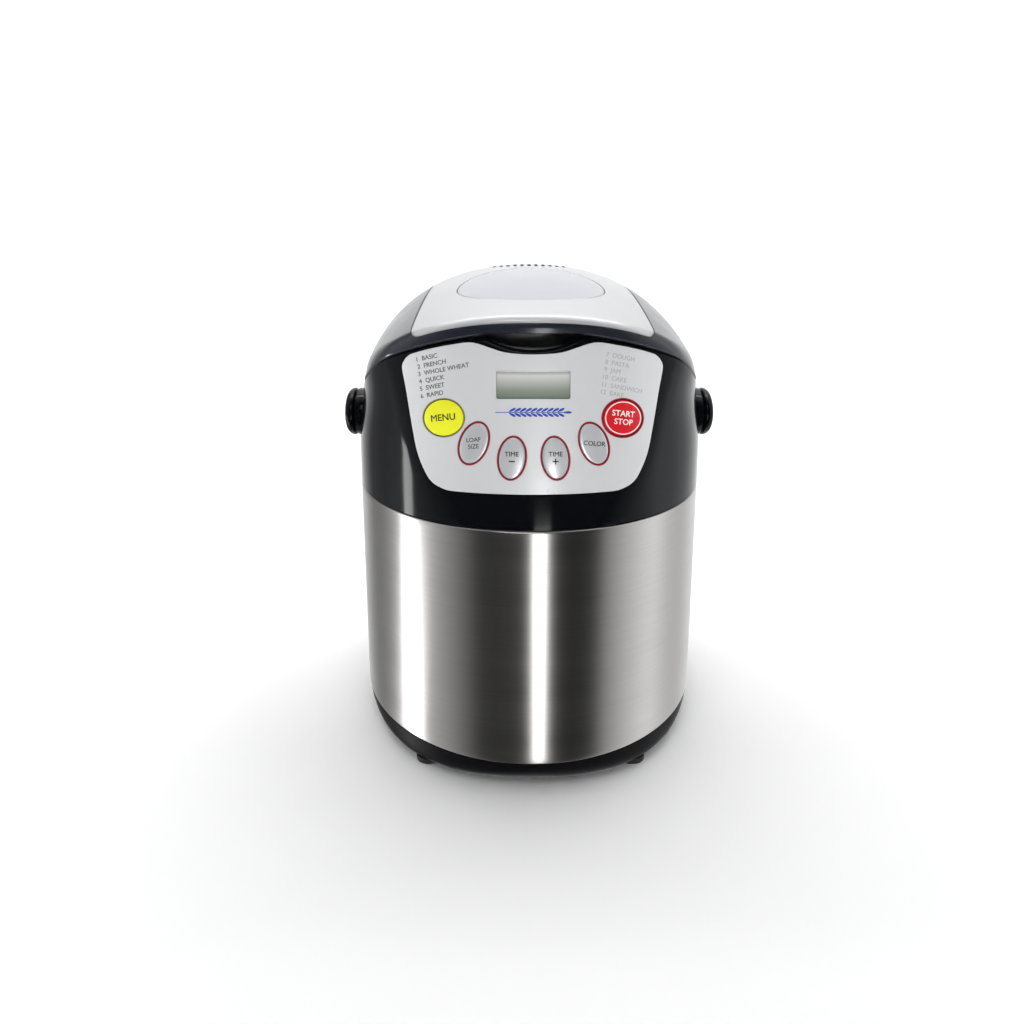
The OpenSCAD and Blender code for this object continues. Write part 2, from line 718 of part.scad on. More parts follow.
module motor_body() color("#5b5e63") translate([0, motor_y, 0]) difference() {
  union() {
    translate([0, 0, 39]) cylinder(r = 30, h = 64);
    translate([0, 0, 103]) cylinder(r = 11, h = 6);
    for (s = [-1, 1]) block(s * 36 - 5, s * 36 + 5, -6, 6, 39, 43);
    block(-33, 33, -5, 5, 39, 43);
  }
  for (a = [0 : 45 : 315]) rotate([0, 0, a]) block(24, 40, -2, 2, 52, 88);
  for (s = [-1, 1]) translate([s * 36, 0, 30]) cylinder(r = 2, h = 20, $fn = 24);
}

module motor_bracket() color("#85888c") translate([0, motor_y, chassis_z + chassis_t]) difference() {
  union() {
    block(-44, 44, -18, 18, 0, 2);
    for (s = [-1, 1]) translate([s * 36, 0, 0]) cylinder(r = 5, h = 39 - chassis_z - chassis_t);
  }
  translate([0, 0, -1]) cylinder(r = 10, h = 10);
  for (s = [-1, 1]) translate([s * 36, 0, -1]) cylinder(r = 1.5, h = 20, $fn = 24);
}

module power_board() color("#2c6a42") {
  block(-66, -24, 146, 147.6, chassis_z + chassis_t, 130);
  block(-60, -42, 138, 146, 60, 78);
  translate([-33, 146.1, 70]) rotate([90, 0, 0]) cylinder(r = 6, h = 10);
  block(-60, -30, 139, 146, 100, 116);
}

module cord_gland() color("#161616")
translate([gland_x, gland_end, gland_z]) rotate([90, 0, 0]) difference() {
  union() {
    cylinder(r = gland_nose_r, h = 14);
    translate([0, 0, 3.6]) cylinder(r = 9, h = 3);
  }
  translate([0, 0, -1]) cylinder(r = cord_r, h = 16);
}

// ---------- bread pan ----------

pan_y0 = axis_y - pan_d / 2;
pan_y1 = axis_y + pan_d / 2;
pan_top_z = pan_bottom_z + pan_h;
pivot_z = 196;
arm_x = 67.75;
bail_reach = 70;
bail_rise = 15.5;
rod_r = 2.2;

module bread_pan() color("#4a4b4e") difference() {
  union() {
    translate([0, 0, pan_bottom_z]) linear_extrude(pan_h) rounded_plan(pan_a, pan_y0, pan_y1, 20);
    translate([0, 0, pan_top_z - 2])
      linear_extrude(2) rounded_plan(pan_a + 2.4, pan_y0 - 2.4, pan_y1 + 2.4, 22);
  }
  translate([0, 0, pan_bottom_z + 2])
    linear_extrude(pan_h) rounded_plan(pan_a - pan_wall, pan_y0 + pan_wall, pan_y1 - pan_wall, 19);
  translate([0, axis_y, 0]) cylinder(r = 7, h = 100);
}

module pan_base_ring() color("#8b8e92") translate([0, axis_y, 0]) difference() {
  translate([0, 0, chamber_floor_z + 0.5]) tube(31, 28, pan_bottom_z - chamber_floor_z - 0.5);
  for (a = [0, 90]) rotate([0, 0, a]) block(-40, 40, -5, 5, 50, 62);
}

module pan_bush() color("#b08a4a") translate([0, axis_y, 0]) {
  translate([0, 0, pan_bottom_z]) tube(7, shaft_r + 0.05, 4);
  translate([0, 0, pan_bottom_z + 2]) tube(9, 7 - eps, 2);
}

module pan_shaft() color("#c9ccd0") translate([0, axis_y, 66.9]) cylinder(r = shaft_r, h = 28);

module pan_coupling() color("#b6b9bd") translate([0, axis_y, 0]) {
  translate([0, 0, 67]) tube(13, shaft_r, 2.5);
  for (s = [-1, 1]) block(-3, 3, s * 9.5 - 2.5, s * 9.5 + 2.5, 62.5, 67.2);
}

module kneading_paddle() color("#55565a") translate([0, axis_y, 75]) difference() {
  union() {
    cylinder(r1 = 9, r2 = 7, h = 21);
    intersection() {
      block(0, 38, -2, 2, 0.5, 18);
      translate([0, 3, 0]) rotate([90, 0, 0]) linear_extrude(6)
        polygon([[0, 0.5], [34, 0.5], [38, 5], [37, 12], [26, 18], [0, 18]]);
    }
  }
  translate([0, 0, -1]) cylinder(r = shaft_r, h = 20.9);
}

// Bail folded forward over the rim; it swings up about the pivots
module pan_handle() color("#2a2a2c") {
  lean = atan2(bail_rise, bail_reach);
  arm = norm([bail_rise, bail_reach]);
  for (s = [-1, 1]) translate([s * arm_x, axis_y, pivot_z]) {
    difference() {
      union() {
        rotate([0, 90, 0]) translate([0, 0, -1.7]) cylinder(r = 5.5, h = 3.4);
        rotate([90 - lean, 0, 0]) cylinder(r = rod_r - 0.6, h = arm);
      }
      rotate([0, 90, 0]) translate([0, 0, -5]) cylinder(r = 2.6, h = 10);
    }
    translate([0, -bail_reach, bail_rise]) sphere(r = rod_r, $fn = 24);
  }
  translate([-arm_x, axis_y - bail_reach, pivot_z + bail_rise])
    rotate([0, 90, 0]) cylinder(r = rod_r, h = 2 * arm_x);
  translate([-32, axis_y - bail_reach, pivot_z + bail_rise]) rotate([0, 90, 0]) cylinder(r = 3.2, h = 64);
}

module handle_pivots() color("#b9bcc0") for (s = [-1, 1])
  translate([s * pan_a, axis_y, pivot_z]) rotate([0, s * 90, 0]) {
    cylinder(r = 2.5, h = 8.5);
    cylinder(r = 5, h = 3);
    translate([0, 0, 8]) cylinder(r = 4.4, h = 1.6);
  }

// ---------- lid ----------

module lid_frame() color("#2a2c31") difference() {
  outer = lid_rim(0);
  edge = lid_rim(4);
  hole = panel_rim(-0.5);
  lip = panel_rim(6);
  ring_solid([
    on_seam(outer, lid_gap),
    [for (p = outer) [p[0], p[1], max(seam_z(p[1]) + 1.6, lid_z(p[0], p[1]) - 4)]],
    [for (p = lid_rim(1.2)) [p[0], p[1], max(seam_z(p[1]) + 2.4, lid_z(p[0], p[1]) - 1.4)]],
    on_lid(edge, 0),
    on_lid(mix(edge, hole, 0.3), 0),
    on_lid(mix(edge, hole, 0.65), 0),
    on_lid(hole, 0),
    on_lid(hole, panel_t + 0.4),
    on_lid(lip, panel_t + 0.4),
    on_lid(lip, panel_t + 2.6),
    on_lid(hole, panel_t + 2.6),
    on_lid(mix(edge, hole, 0.5), lid_thick + 1),
    on_lid(edge, lid_thick + 1.6),
    on_seam(lid_rim(3.8), lid_gap)
  ]);
  for (s = [-1, 1]) {
    block(s * 60 - 5.7, s * 60 + 5.7, 140, 160, 228, 245.2);
    translate([s * 60, 146, 255]) rotate([-90, 0, 0]) cylinder(r = 1.5, h = 4.4, $fn = 24);
  }
}

// Long slots over the crown, shorter towards the sides
module vent_slots() for (i = [-5 : 5]) {
  reach = vent_length / 2 * sqrt(1 - pow(i / 6.2, 2)) - vent_r;
  translate([i * vent_pitch, vent_y, 290]) linear_extrude(50) hull()
    for (s = [-1, 1]) translate([0, s * reach]) circle(r = vent_r, $fn = 16);
}

module lid_top_panel() color("#dcdddf") difference() {
  outer = panel_rim(0);
  inner = window_rim(0);
  ring_solid([
    on_lid(outer, panel_t), on_lid(outer, 0.5), on_lid(mix(outer, inner, 0.03), 0),
    on_lid(mix(outer, inner, 0.1), 0), on_lid(mix(outer, inner, 0.25), 0),
    on_lid(mix(outer, inner, 0.5), 0),
    on_lid(mix(outer, inner, 0.75), 0), on_lid(inner, 0), on_lid(inner, panel_t),
    on_lid(mix(outer, inner, 0.75), panel_t), on_lid(mix(outer, inner, 0.5), panel_t),
    on_lid(mix(outer, inner, 0.25), panel_t), on_lid(mix(outer, inner, 0.1), panel_t)
  ]);
  vent_slots();
}

module lid_disc(rim, middle, depth0, depth1) {
  spot = [for (p = rim) middle];
  loft([
    for (s = [0.25, 0.5, 0.75, 1]) on_lid(mix(spot, rim, s), depth1),
    for (s = [1, 0.75, 0.5, 0.25]) on_lid(mix(spot, rim, s), depth0)
  ]);
}

module lid_window() color("#8f9396") lid_disc(window_rim(0.4), [0, window_y], 0.3, panel_t);

module window_gasket() color("#1c1c1c") {
  outer = window_rim(-4);
  inner = window_rim(3);
  ring_solid([
    on_lid(outer, 4), on_lid(outer, panel_t + 0.1), on_lid(inner, panel_t + 0.1), on_lid(inner, 4)
  ]);
}

// Inner tray of the lid: a roof under the dome and a skirt down to the seam
module lid_liner() color("#b4b7ba") {
  outer = liner_rim(0);
  shoulder = liner_rim(4);
  hole = glass_rim(0);
  ring_solid([
    on_seam(outer, 1), on_lid(outer, liner_drop + 4), on_lid(shoulder, liner_drop),
    on_lid(mix(shoulder, hole, 0.33), liner_drop), on_lid(mix(shoulder, hole, 0.66), liner_drop),
    on_lid(hole, liner_drop), on_lid(hole, liner_drop + 1.5),
    on_lid(mix(shoulder, hole, 0.66), liner_drop + 1.5),
    on_lid(mix(shoulder, hole, 0.33), liner_drop + 1.5), on_lid(liner_rim(5), liner_drop + 1.5),
    on_lid(liner_rim(1.5), liner_drop + 5), on_seam(liner_rim(1.5), 1)
  ]);
}

module liner_glass() color("#9fb0b4")
  lid_disc(glass_rim(-5), [0, glass_y], liner_drop - 3, liner_drop - glass_gap);

module lid_seal() color("#8e3b30") {
  outer = liner_rim(-4);
  inner = liner_rim(-0.1);
  ring_solid([on_seam(outer, 0.7), on_seam(outer, 4), on_seam(inner, 4), on_seam(inner, 0.7)]);
}

module hinge_lugs() color("#34363a") for (s = [-1, 1]) difference() {
  union() {
    translate([s * 60 - 5.5, hinge_y, hinge_z]) rotate([0, 90, 0]) cylinder(r = 6, h = 11);
    block(s * 60 - 5.5, s * 60 + 5.5, 143, hinge_y, hinge_z - 3, 245);
    block(s * 60 - 9, s * 60 + 9, 143, 148, hinge_z - 3, 262);
  }
  translate([s * 60 - 10, hinge_y, hinge_z]) rotate([0, 90, 0]) cylinder(r = hinge_pin_r + 0.05, h = 20);
  translate([s * 60, 130, 255]) rotate([-90, 0, 0]) cylinder(r = 1.5, h = 30, $fn = 24);
}

module hinge_pins() color("#c9ccd0") for (s = [0, 1]) mirror([s, 0, 0])
  translate([46.5, hinge_y, hinge_z]) rotate([0, 90, 0]) {
    cylinder(r = hinge_pin_r, h = 27.5);
    cylinder(r = 4, h = 1.4);
  }

module lid_screws() color("#9a9da2") for (s = [-1, 1])
  translate([s * 60, 143, 255]) rotate([90, 0, 0]) screw(1.5, 7.2, 3, 1.8);

base_tray();
rubber_feet();
base_screws();
steel_front();
steel_rear();
upper_housing();
side_grip_left();
side_grip_right();
fascia();
button_rings();
lcd_lens();
lcd_module();
menu_button();
loaf_button();
minus_button();
plus_button();
colour_button();
start_button();
control_board();
tact_switches();
board_screws();
chamber_liner();
heat_jacket();
heating_element();
element_bushes();
temperature_sensor();
thermal_fuse();
chassis_plate();
chassis_screws();
chamber_posts();
bearing_housing();
bearing_bushes();
drive_shaft();
drive_coupling();
large_pulley();
drive_belt();
motor_pulley();
motor_shaft();
motor_body();
motor_bracket();
power_board();
cord_gland();
bread_pan();
pan_base_ring();
pan_bush();
pan_shaft();
pan_coupling();
kneading_paddle();
pan_handle();
handle_pivots();
lid_frame();
lid_top_panel();
lid_window();
window_gasket();
lid_liner();
liner_glass();
lid_seal();
hinge_lugs();
hinge_pins();
lid_screws();
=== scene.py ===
"""Bread machine: smooth outer skins, printed marks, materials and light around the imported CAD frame.

Shapes are worked out in millimetres in the CAD frame (+Z up, front towards -Y) and written in metres.
"""

import math

import bmesh
import bpy
import numpy as np
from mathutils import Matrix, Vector


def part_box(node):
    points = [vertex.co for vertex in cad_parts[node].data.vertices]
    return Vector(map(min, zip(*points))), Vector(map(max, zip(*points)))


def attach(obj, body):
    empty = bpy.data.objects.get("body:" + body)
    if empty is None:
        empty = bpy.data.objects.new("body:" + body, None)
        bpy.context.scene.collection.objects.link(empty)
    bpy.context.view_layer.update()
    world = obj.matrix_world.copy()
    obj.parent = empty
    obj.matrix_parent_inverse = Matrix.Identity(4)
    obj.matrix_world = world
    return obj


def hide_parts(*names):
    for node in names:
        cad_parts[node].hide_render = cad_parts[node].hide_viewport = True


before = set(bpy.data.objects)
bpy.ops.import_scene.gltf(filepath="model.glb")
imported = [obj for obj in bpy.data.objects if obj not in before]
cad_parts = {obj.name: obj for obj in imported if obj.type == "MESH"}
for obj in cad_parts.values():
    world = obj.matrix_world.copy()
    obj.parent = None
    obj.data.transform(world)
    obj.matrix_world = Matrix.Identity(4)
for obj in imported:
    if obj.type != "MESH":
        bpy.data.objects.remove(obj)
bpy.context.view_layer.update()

MM = 0.001


def mm_box(node):
    low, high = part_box(node)
    return [v / MM for v in low], [v / MM for v in high]


# ---------------------------------------------------------------- driving sizes, from the frame

STEEL = ("steel_front", "steel_rear")
wrap_low, wrap_high = mm_box(STEEL[-1])
HALF_W = wrap_high[0]
HALF_D = wrap_high[1]
WRAP_Z0 = wrap_low[2]
WRAP_Z1 = wrap_high[2]
BODY_H = mm_box("lid_top_panel")[1][2]
FEET_H = mm_box("base_tray")[0][2]

# control face: a cylinder of radius FACE_R leaning back by FACE_TILT
FACE_R = 135.0
FACE_TILT = math.radians(10)
FACE_Y = -HALF_D + 3
FACE_SIN = math.sin(FACE_TILT)
FACE_COS = math.cos(FACE_TILT)

# lid
SEAM_REAR_Z = 230.8
SEAM_RISE = 58.7
LID_FRONT_Y = -152.0
LID_REAR_Y = 152.0
LID_GAP = 0.6
DOME_FALL = 106.0
DOME_POWER = 2.2
PANEL_Y = -17.0
PANEL_FRONT = 133.6
PANEL_CORNER = 40.0
CROWN_Y = 30.0
WINDOW_A = 49.5
WINDOW_B = 56.0
WINDOW_Y = -60.0
AXIS_Y = 24.0

# points round the body, and the power of its squarer rear half
COLUMNS = 480
REAR_POWER = 3.0

# inward lean of the flanks, deepest at SHOULDER_Z
SHOULDER = 4.4
SHOULDER_Z = 245.0
SHOULDER_SPAN = 24.0

# rounded front edge of the lid
LID_FILLET = 6.0


# ---------------------------------------------------------------- shared curves


def shouldered(points):
    """Points drawn in a little at the flanks about the seam, where collar and lid lean inward."""
    points = np.array(points, float)
    x, z = points[:, 0], points[:, 2]
    lean = SHOULDER * np.exp(-(((z - SHOULDER_Z) / SHOULDER_SPAN) ** 2))
    points[:, 0] = x - np.sign(x) * lean * np.minimum(1, np.abs(x) / HALF_W) ** 3
    return points


def around(n):
    """n even steps of angle round a circle."""
    return np.linspace(0, 2 * math.pi, n, endpoint=False)


def spow(v, e):
    return np.sign(v) * np.abs(v) ** e


def smooth_max(a, b, k):
    """The larger of a and b, with the corner between them rounded over k."""
    return np.maximum(a, b) + np.maximum(k - np.abs(a - b), 0) ** 2 / (4 * k)


def smooth_min(a, b, k):
    return -smooth_max(-a, -b, k)


def resample(points, n):
    """n points at even steps along a closed curve, the first at the curve's own start."""
    loop = np.vstack([points, points[:1]])
    steps = np.linalg.norm(np.diff(loop, axis=0), axis=1)
    along = np.concatenate([[0], np.cumsum(steps)])
    at = np.linspace(0, along[-1], n, endpoint=False)
    return np.stack([np.interp(at, along, loop[:, i]) for i in range(2)], axis=1)


def outline(half_w=HALF_W, half_d=HALF_D, front=2.0):
    """Plan outline of the body: a half ellipse in front and a squarer half behind."""
    t = around(6000)
    e = np.where(np.sin(t) < 0, 2 / front, 2 / REAR_POWER)
    curve = np.stack([half_w * spow(np.cos(t), e), half_d * spow(np.sin(t), e)], axis=1)
    return resample(curve, COLUMNS)


def inset(curve, d):
    """The closed curve moved inward by d, which may vary from point to point."""
    ahead = np.roll(curve, -1, axis=0) - np.roll(curve, 1, axis=0)
    normal = np.stack([-ahead[:, 1], ahead[:, 0]], axis=1)
    normal /= np.linalg.norm(normal, axis=1)[:, None]
    return curve + normal * np.reshape(d, (-1, 1))


def inside_of(curve, hole):
    """Which points of the curve have passed inside the hole, both seen from the panel's middle."""
    middle = np.array([0, PANEL_Y])
    return np.linalg.norm(curve - middle, axis=1) < np.linalg.norm(hole - middle, axis=1)


def at_height(curve, z):
    return np.column_stack([curve, np.broadcast_to(z, len(curve))])


def seam_z(y):
    return SEAM_REAR_Z + SEAM_RISE * (np.maximum(0, 154 - np.maximum(y, -148)) / 302) ** 3.1


def crown_z(y):
    front = 29 * (np.maximum(CROWN_Y - y, 0) / (158 + CROWN_Y)) ** 1.6
    rear = 36 * (np.maximum(y - CROWN_Y, 0) / (158 - CROWN_Y)) ** 2
    return BODY_H - front - rear


def side_fall(x):
    across = np.minimum(1, np.abs(x) / HALF_W)
    return DOME_FALL * (1 - (1 - across**DOME_POWER) ** (1 / DOME_POWER))


def lid_z(x, y):
    return crown_z(y) - side_fall(x)


def lid_half_w(y):
    drop = np.minimum(1, (crown_z(y) - seam_z(y) - 4) / DOME_FALL)
    return HALF_W * (1 - (1 - drop) ** DOME_POWER) ** (1 / DOME_POWER)


def lid_rim():
    """Plan outline of the lid: the body's, cut by the curved front and by the hinge line."""
    x, y = outline().T
    front = LID_FRONT_Y + FACE_R - np.sqrt(np.maximum(0, FACE_R**2 - x**2))
    y = smooth_max(y, front, 3.0)
    y = smooth_min(y, np.full_like(y, LID_REAR_Y), 6.0)
    x = np.sign(x) * np.minimum(np.abs(x), lid_half_w(y))
    return np.stack([x, y], axis=1)


def by_angle(curve, centre_y):
    return np.arctan2(curve[:, 1] - centre_y, curve[:, 0])


def panel_rim(rim, grow=0.0):
    """Outline of the pale top panel, one point for each point of the lid's rim."""
    t = by_angle(rim, PANEL_Y)
    b = np.where(np.sin(t) < 0, PANEL_FRONT, 154.0)
    curved = 1 / np.sqrt((np.cos(t) / PANEL_FRONT) ** 2 + (np.sin(t) / b) ** 2)
    taper = math.radians(1.5)
    across = np.maximum(0.01, math.cos(taper) * np.abs(np.cos(t)) + math.sin(taper) * np.sin(t))
    side = 72.1 / across
    r = (curved**-PANEL_CORNER + side**-PANEL_CORNER) ** (-1 / PANEL_CORNER) + grow
    return np.stack([r * np.cos(t), PANEL_Y + r * np.sin(t)], axis=1)


def window_rim(rim, grow=0.0):
    t = by_angle(panel_rim(rim), WINDOW_Y)
    return np.stack([(WINDOW_A + grow) * np.cos(t), WINDOW_Y + (WINDOW_B + grow) * np.sin(t)], axis=1)


def front_drop(x, y):
    """How far the rounded front edge of the lid falls below the dome."""
    front = LID_FRONT_Y + FACE_R - np.sqrt(np.maximum(0, FACE_R**2 - x**2))
    behind = np.clip(y - front, 0, LID_FILLET)
    return LID_FILLET - np.sqrt(LID_FILLET**2 - (LID_FILLET - behind) ** 2)


def on_lid(curve, depth=0.0):
    """The curve laid on the dome, sunk by depth."""
    x, y = curve[:, 0], curve[:, 1]
    return at_height(curve, lid_z(x, y) - front_drop(x, y) - depth)


def on_seam(curve, rise):
    return at_height(curve, seam_z(curve[:, 1]) + rise)


# ---------------------------------------------------------------- the tilted control face


def face_back(x):
    return FACE_R - np.sqrt(FACE_R**2 - np.minimum(np.abs(x), FACE_R - 1) ** 2)


def face_up(x, z):
    """Height along the slope of the face's point at x and height z."""
    return (z - WRAP_Z1 + face_back(x) * FACE_SIN) / FACE_COS


def face_points(xvd):
    """World points for rows of x, height along the slope, and distance out of the face."""
    x, v, d = np.asarray(xvd, float).T
    turn = np.arcsin(np.clip(x / FACE_R, -0.99, 0.99))
    px = (FACE_R + d) * np.sin(turn)
    back = FACE_R - (FACE_R + d) * np.cos(turn)
    y = FACE_Y + back * FACE_COS + v * FACE_SIN
    z = WRAP_Z1 - back * FACE_SIN + v * FACE_COS
    return np.stack([px, y, z], axis=1)


def face_y_at(x, z):
    """Y of the curved face at x and height z."""
    back = FACE_R - np.sqrt(np.maximum(FACE_R**2 - x**2, 0))
    return FACE_Y + (back + (z - WRAP_Z1) * FACE_SIN) / FACE_COS


# ---------------------------------------------------------------- mesh helpers


def add_object(name, mesh, material, smooth_angle=38):
    obj = bpy.data.objects.new(name, mesh)
    bpy.context.scene.collection.objects.link(obj)
    mesh.polygons.foreach_set("use_smooth", [True] * len(mesh.polygons))
    mesh.set_sharp_from_angle(angle=math.radians(smooth_angle))
    mesh.materials.clear()
    mesh.materials.append(material)
    return obj


def mesh_from(name, points_mm, faces):
    mesh = bpy.data.meshes.new(name)
    mesh.from_pydata([tuple(p) for p in np.asarray(points_mm) * MM], [], faces)
    mesh.validate()
    mesh.update()
    return mesh


def bm_of(mesh):
    bm = bmesh.new()
    bm.from_mesh(mesh)
    return bm


def into(bm, mesh):
    bm.to_mesh(mesh)
    bm.free()
    return mesh


def outward(mesh):
    bm = bm_of(mesh)
    bmesh.ops.remove_doubles(bm, verts=bm.verts, dist=1e-6)
    bmesh.ops.recalc_face_normals(bm, faces=bm.faces)
    return into(bm, mesh)


def rings_piece(name, rings, material, closed=True, smooth_angle=38):
    """A skin through rings of equal length; closed joins the last to the first, else both ends get a cap."""
    rings = [np.asarray(r) for r in rings]
    n, k = len(rings[0]), len(rings)
    faces = []
    for j in range(k if closed else k - 1):
        a, b = j * n, (j + 1) % k * n
        faces += [(a + i, a + (i + 1) % n, b + (i + 1) % n, b + i) for i in range(n)]
    points = np.vstack(rings)
    if not closed:
        points = np.vstack([points, rings[0].mean(axis=0), rings[-1].mean(axis=0)])
        faces += [(n * k, (i + 1) % n, i) for i in range(n)]
        last = (k - 1) * n
        faces += [(n * k + 1, last + i, last + (i + 1) % n) for i in range(n)]
    return add_object(name, outward(mesh_from(name, points, faces)), material, smooth_angle)


def curve_mesh(name, curve):
    obj = bpy.data.objects.new(name, curve)
    bpy.context.scene.collection.objects.link(obj)
    bpy.context.view_layer.update()
    mesh = bpy.data.meshes.new_from_object(obj.evaluated_get(bpy.context.evaluated_depsgraph_get()))
    bpy.data.objects.remove(obj)
    bpy.data.curves.remove(curve)
    return mesh


def flat_shape(name, loops, thickness, bevel=0.0):
    """A plate with rounded edges, in millimetres, from closed loops; inner loops are holes."""
    curve = bpy.data.curves.new(name, "CURVE")
    curve.dimensions = "2D"
    curve.fill_mode = "BOTH"
    curve.extrude = thickness / 2 - bevel
    curve.bevel_depth = bevel
    curve.bevel_resolution = 3
    curve.offset = -bevel
    for loop in loops:
        spline = curve.splines.new("POLY")
        spline.points.add(len(loop) - 1)
        for point, (x, y) in zip(spline.points, loop):
            point.co = (x, y, 0, 1)
        spline.use_cyclic_u = True
    return curve_mesh(name, curve)


def lettering(name, words, size, weight):
    """Flat letters centred on the origin, in millimetres, thickened by striking them side by side."""
    curve = bpy.data.curves.new(name, "FONT")
    curve.body = words
    curve.size = size
    curve.align_x = "CENTER"
    curve.align_y = "CENTER"
    curve.extrude = 0.04
    curve.resolution_u = 3
    first = curve_mesh(name, curve)
    if not weight:
        return first
    strikes = [first]
    for i, (dx, dy) in enumerate([(-weight, 0), (weight, 0), (0, weight), (0, -weight)]):
        strike = first.copy()
        for v in strike.vertices:
            v.co.x += dx
            v.co.y += dy
            v.co.z += 0.004 * (i + 1)
        strikes.append(strike)
    return merged(name, strikes)


def cut_strips(mesh, step):
    """Cuts the mesh along X into strips, so that it can bend round the face."""
    bm = bm_of(mesh)
    xs = [v.co.x for v in bm.verts]
    first, last = math.floor(min(xs) / step) + 1, math.ceil(max(xs) / step)
    for i in range(first, last):
        everything = bm.verts[:] + bm.edges[:] + bm.faces[:]
        bmesh.ops.bisect_plane(bm, geom=everything, plane_co=(i * step, 0, 0), plane_no=(1, 0, 0), dist=1e-5)
    into(bm, mesh)


def bend_onto_face(mesh, rise, lift=None):
    """Lays a flat mesh on the control face; lift(x, v) adds height over the face."""
    flat = np.array([v.co[:] for v in mesh.vertices])
    flat[:, 2] += rise
    if lift is not None:
        flat[:, 2] += lift(flat[:, 0], flat[:, 1])
    for vertex, point in zip(mesh.vertices, face_points(flat)):
        vertex.co = point * MM
    mesh.update()


def moved(mesh, x, y, turn):
    c, s = math.cos(turn), math.sin(turn)
    for v in mesh.vertices:
        v.co.x, v.co.y = x + v.co.x * c - v.co.y * s, y + v.co.x * s + v.co.y * c


def merged(name, meshes):
    bm = bmesh.new()
    for m in meshes:
        bm.from_mesh(m)
        bpy.data.meshes.remove(m)
    return into(bm, bpy.data.meshes.new(name))


def cut_away(obj, cutter):
    """Cuts the cutter's solids out of obj for good."""
    mod = obj.modifiers.new("cut", "BOOLEAN")
    mod.operation = "DIFFERENCE"
    mod.solver = "EXACT"
    mod.object = cutter
    bpy.context.view_layer.update()
    new = bpy.data.meshes.new_from_object(obj.evaluated_get(bpy.context.evaluated_depsgraph_get()))
    obj.modifiers.clear()
    old = obj.data
    obj.data = new
    bpy.data.meshes.remove(old)
    bpy.data.objects.remove(cutter)
    new.polygons.foreach_set("use_smooth", [True] * len(new.polygons))
    new.set_sharp_from_angle(angle=math.radians(38))


def tidy_piece(obj, body, slot, *nodes):
    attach(obj, body)
    if nodes:
        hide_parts(*nodes)


# ---------------------------------------------------------------- materials


def node_material(name, base, roughness, metallic=0.0, **sockets):
    """A principled material; returns it with its node tree and shader for the maker to add detail."""
    material = bpy.data.materials.new(name)
    material.use_nodes = True
    tree = material.node_tree
    shader = tree.nodes["Principled BSDF"]
    shader.inputs["Base Color"].default_value = (*base, 1)
    shader.inputs["Roughness"].default_value = roughness
    shader.inputs["Metallic"].default_value = metallic
    for socket, value in sockets.items():
        shader.inputs[socket.replace("_", " ")].default_value = value
    return material, tree, shader


def add_noise(tree, scale, detail=3.0, stretch=(1, 1, 1), roughness=0.5):
    coords = tree.nodes.new("ShaderNodeTexCoord")
    mapping = tree.nodes.new("ShaderNodeMapping")
    mapping.inputs["Scale"].default_value = stretch
    noise = tree.nodes.new("ShaderNodeTexNoise")
    noise.inputs["Scale"].default_value = scale
    noise.inputs["Detail"].default_value = detail
    noise.inputs["Roughness"].default_value = roughness
    tree.links.new(coords.outputs["Object"], mapping.inputs["Vector"])
    tree.links.new(mapping.outputs["Vector"], noise.inputs["Vector"])
    return noise


def add_range(tree, source, low, high):
    ramp = tree.nodes.new("ShaderNodeMapRange")
    ramp.inputs["To Min"].default_value = low
    ramp.inputs["To Max"].default_value = high
    ramp.inputs["From Min"].default_value = 0.25
    ramp.inputs["From Max"].default_value = 0.75
    tree.links.new(source, ramp.inputs["Value"])
    return ramp.outputs["Result"]


def add_mix(tree, factor, dark, light):
    mix = tree.nodes.new("ShaderNodeMix")
    mix.data_type = "RGBA"
    mix.inputs["A"].default_value = (*dark, 1)
    mix.inputs["B"].default_value = (*light, 1)
    tree.links.new(factor, mix.inputs["Factor"])
    return mix.outputs["Result"]


def wandering(tree, shader, noise, low, high):
    """Lets the roughness wander between low and high."""
    tree.links.new(add_range(tree, noise.outputs["Fac"], low, high), shader.inputs["Roughness"])


def mottled(tree, shader, noise, dark, light):
    """Mixes the base colour between dark and light."""
    tree.links.new(add_mix(tree, noise.outputs["Fac"], dark, light), shader.inputs["Base Color"])


def scaled(colour, factor):
    return tuple(min(1, c * factor) for c in colour)


def add_bump(tree, shader, source, strength, distance):
    bump = tree.nodes.new("ShaderNodeBump")
    bump.inputs["Strength"].default_value = strength
    bump.inputs["Distance"].default_value = distance
    tree.links.new(source, bump.inputs["Height"])
    tree.links.new(bump.outputs["Normal"], shader.inputs["Normal"])


def plastic(name, base, roughness, grain=900.0, depth=0.00002, coat=0.0, ior=1.46):
    """Moulded plastic: a fine orange peel, faint mottling and uneven gloss."""
    material, tree, shader = node_material(
        name, base, roughness, Coat_Weight=coat, Coat_Roughness=0.06, IOR=ior)
    mottle = add_noise(tree, 45, 4)
    peel = add_noise(tree, grain, 2)
    mottled(tree, shader, mottle, scaled(base, 0.86), scaled(base, 1.08))
    wandering(tree, shader, mottle, roughness * 0.85, roughness * 1.2)
    add_bump(tree, shader, peel.outputs["Fac"], 0.25, depth)
    return material


def silver_paint(name, base, roughness, metallic=0.35):
    """Silver-painted plastic: a fine metallic flake under a satin clear coat."""
    material, tree, shader = node_material(
        name, base, roughness, metallic, Coat_Weight=0.25, Coat_Roughness=0.12)
    flake = add_noise(tree, 5200, 1)
    cloud = add_noise(tree, 22, 3)
    mottled(tree, shader, flake, scaled(base, 0.93), scaled(base, 1.04))
    wandering(tree, shader, cloud, roughness * 0.9, roughness * 1.12)
    add_bump(tree, shader, flake.outputs["Fac"], 0.12, 0.00001)
    return material


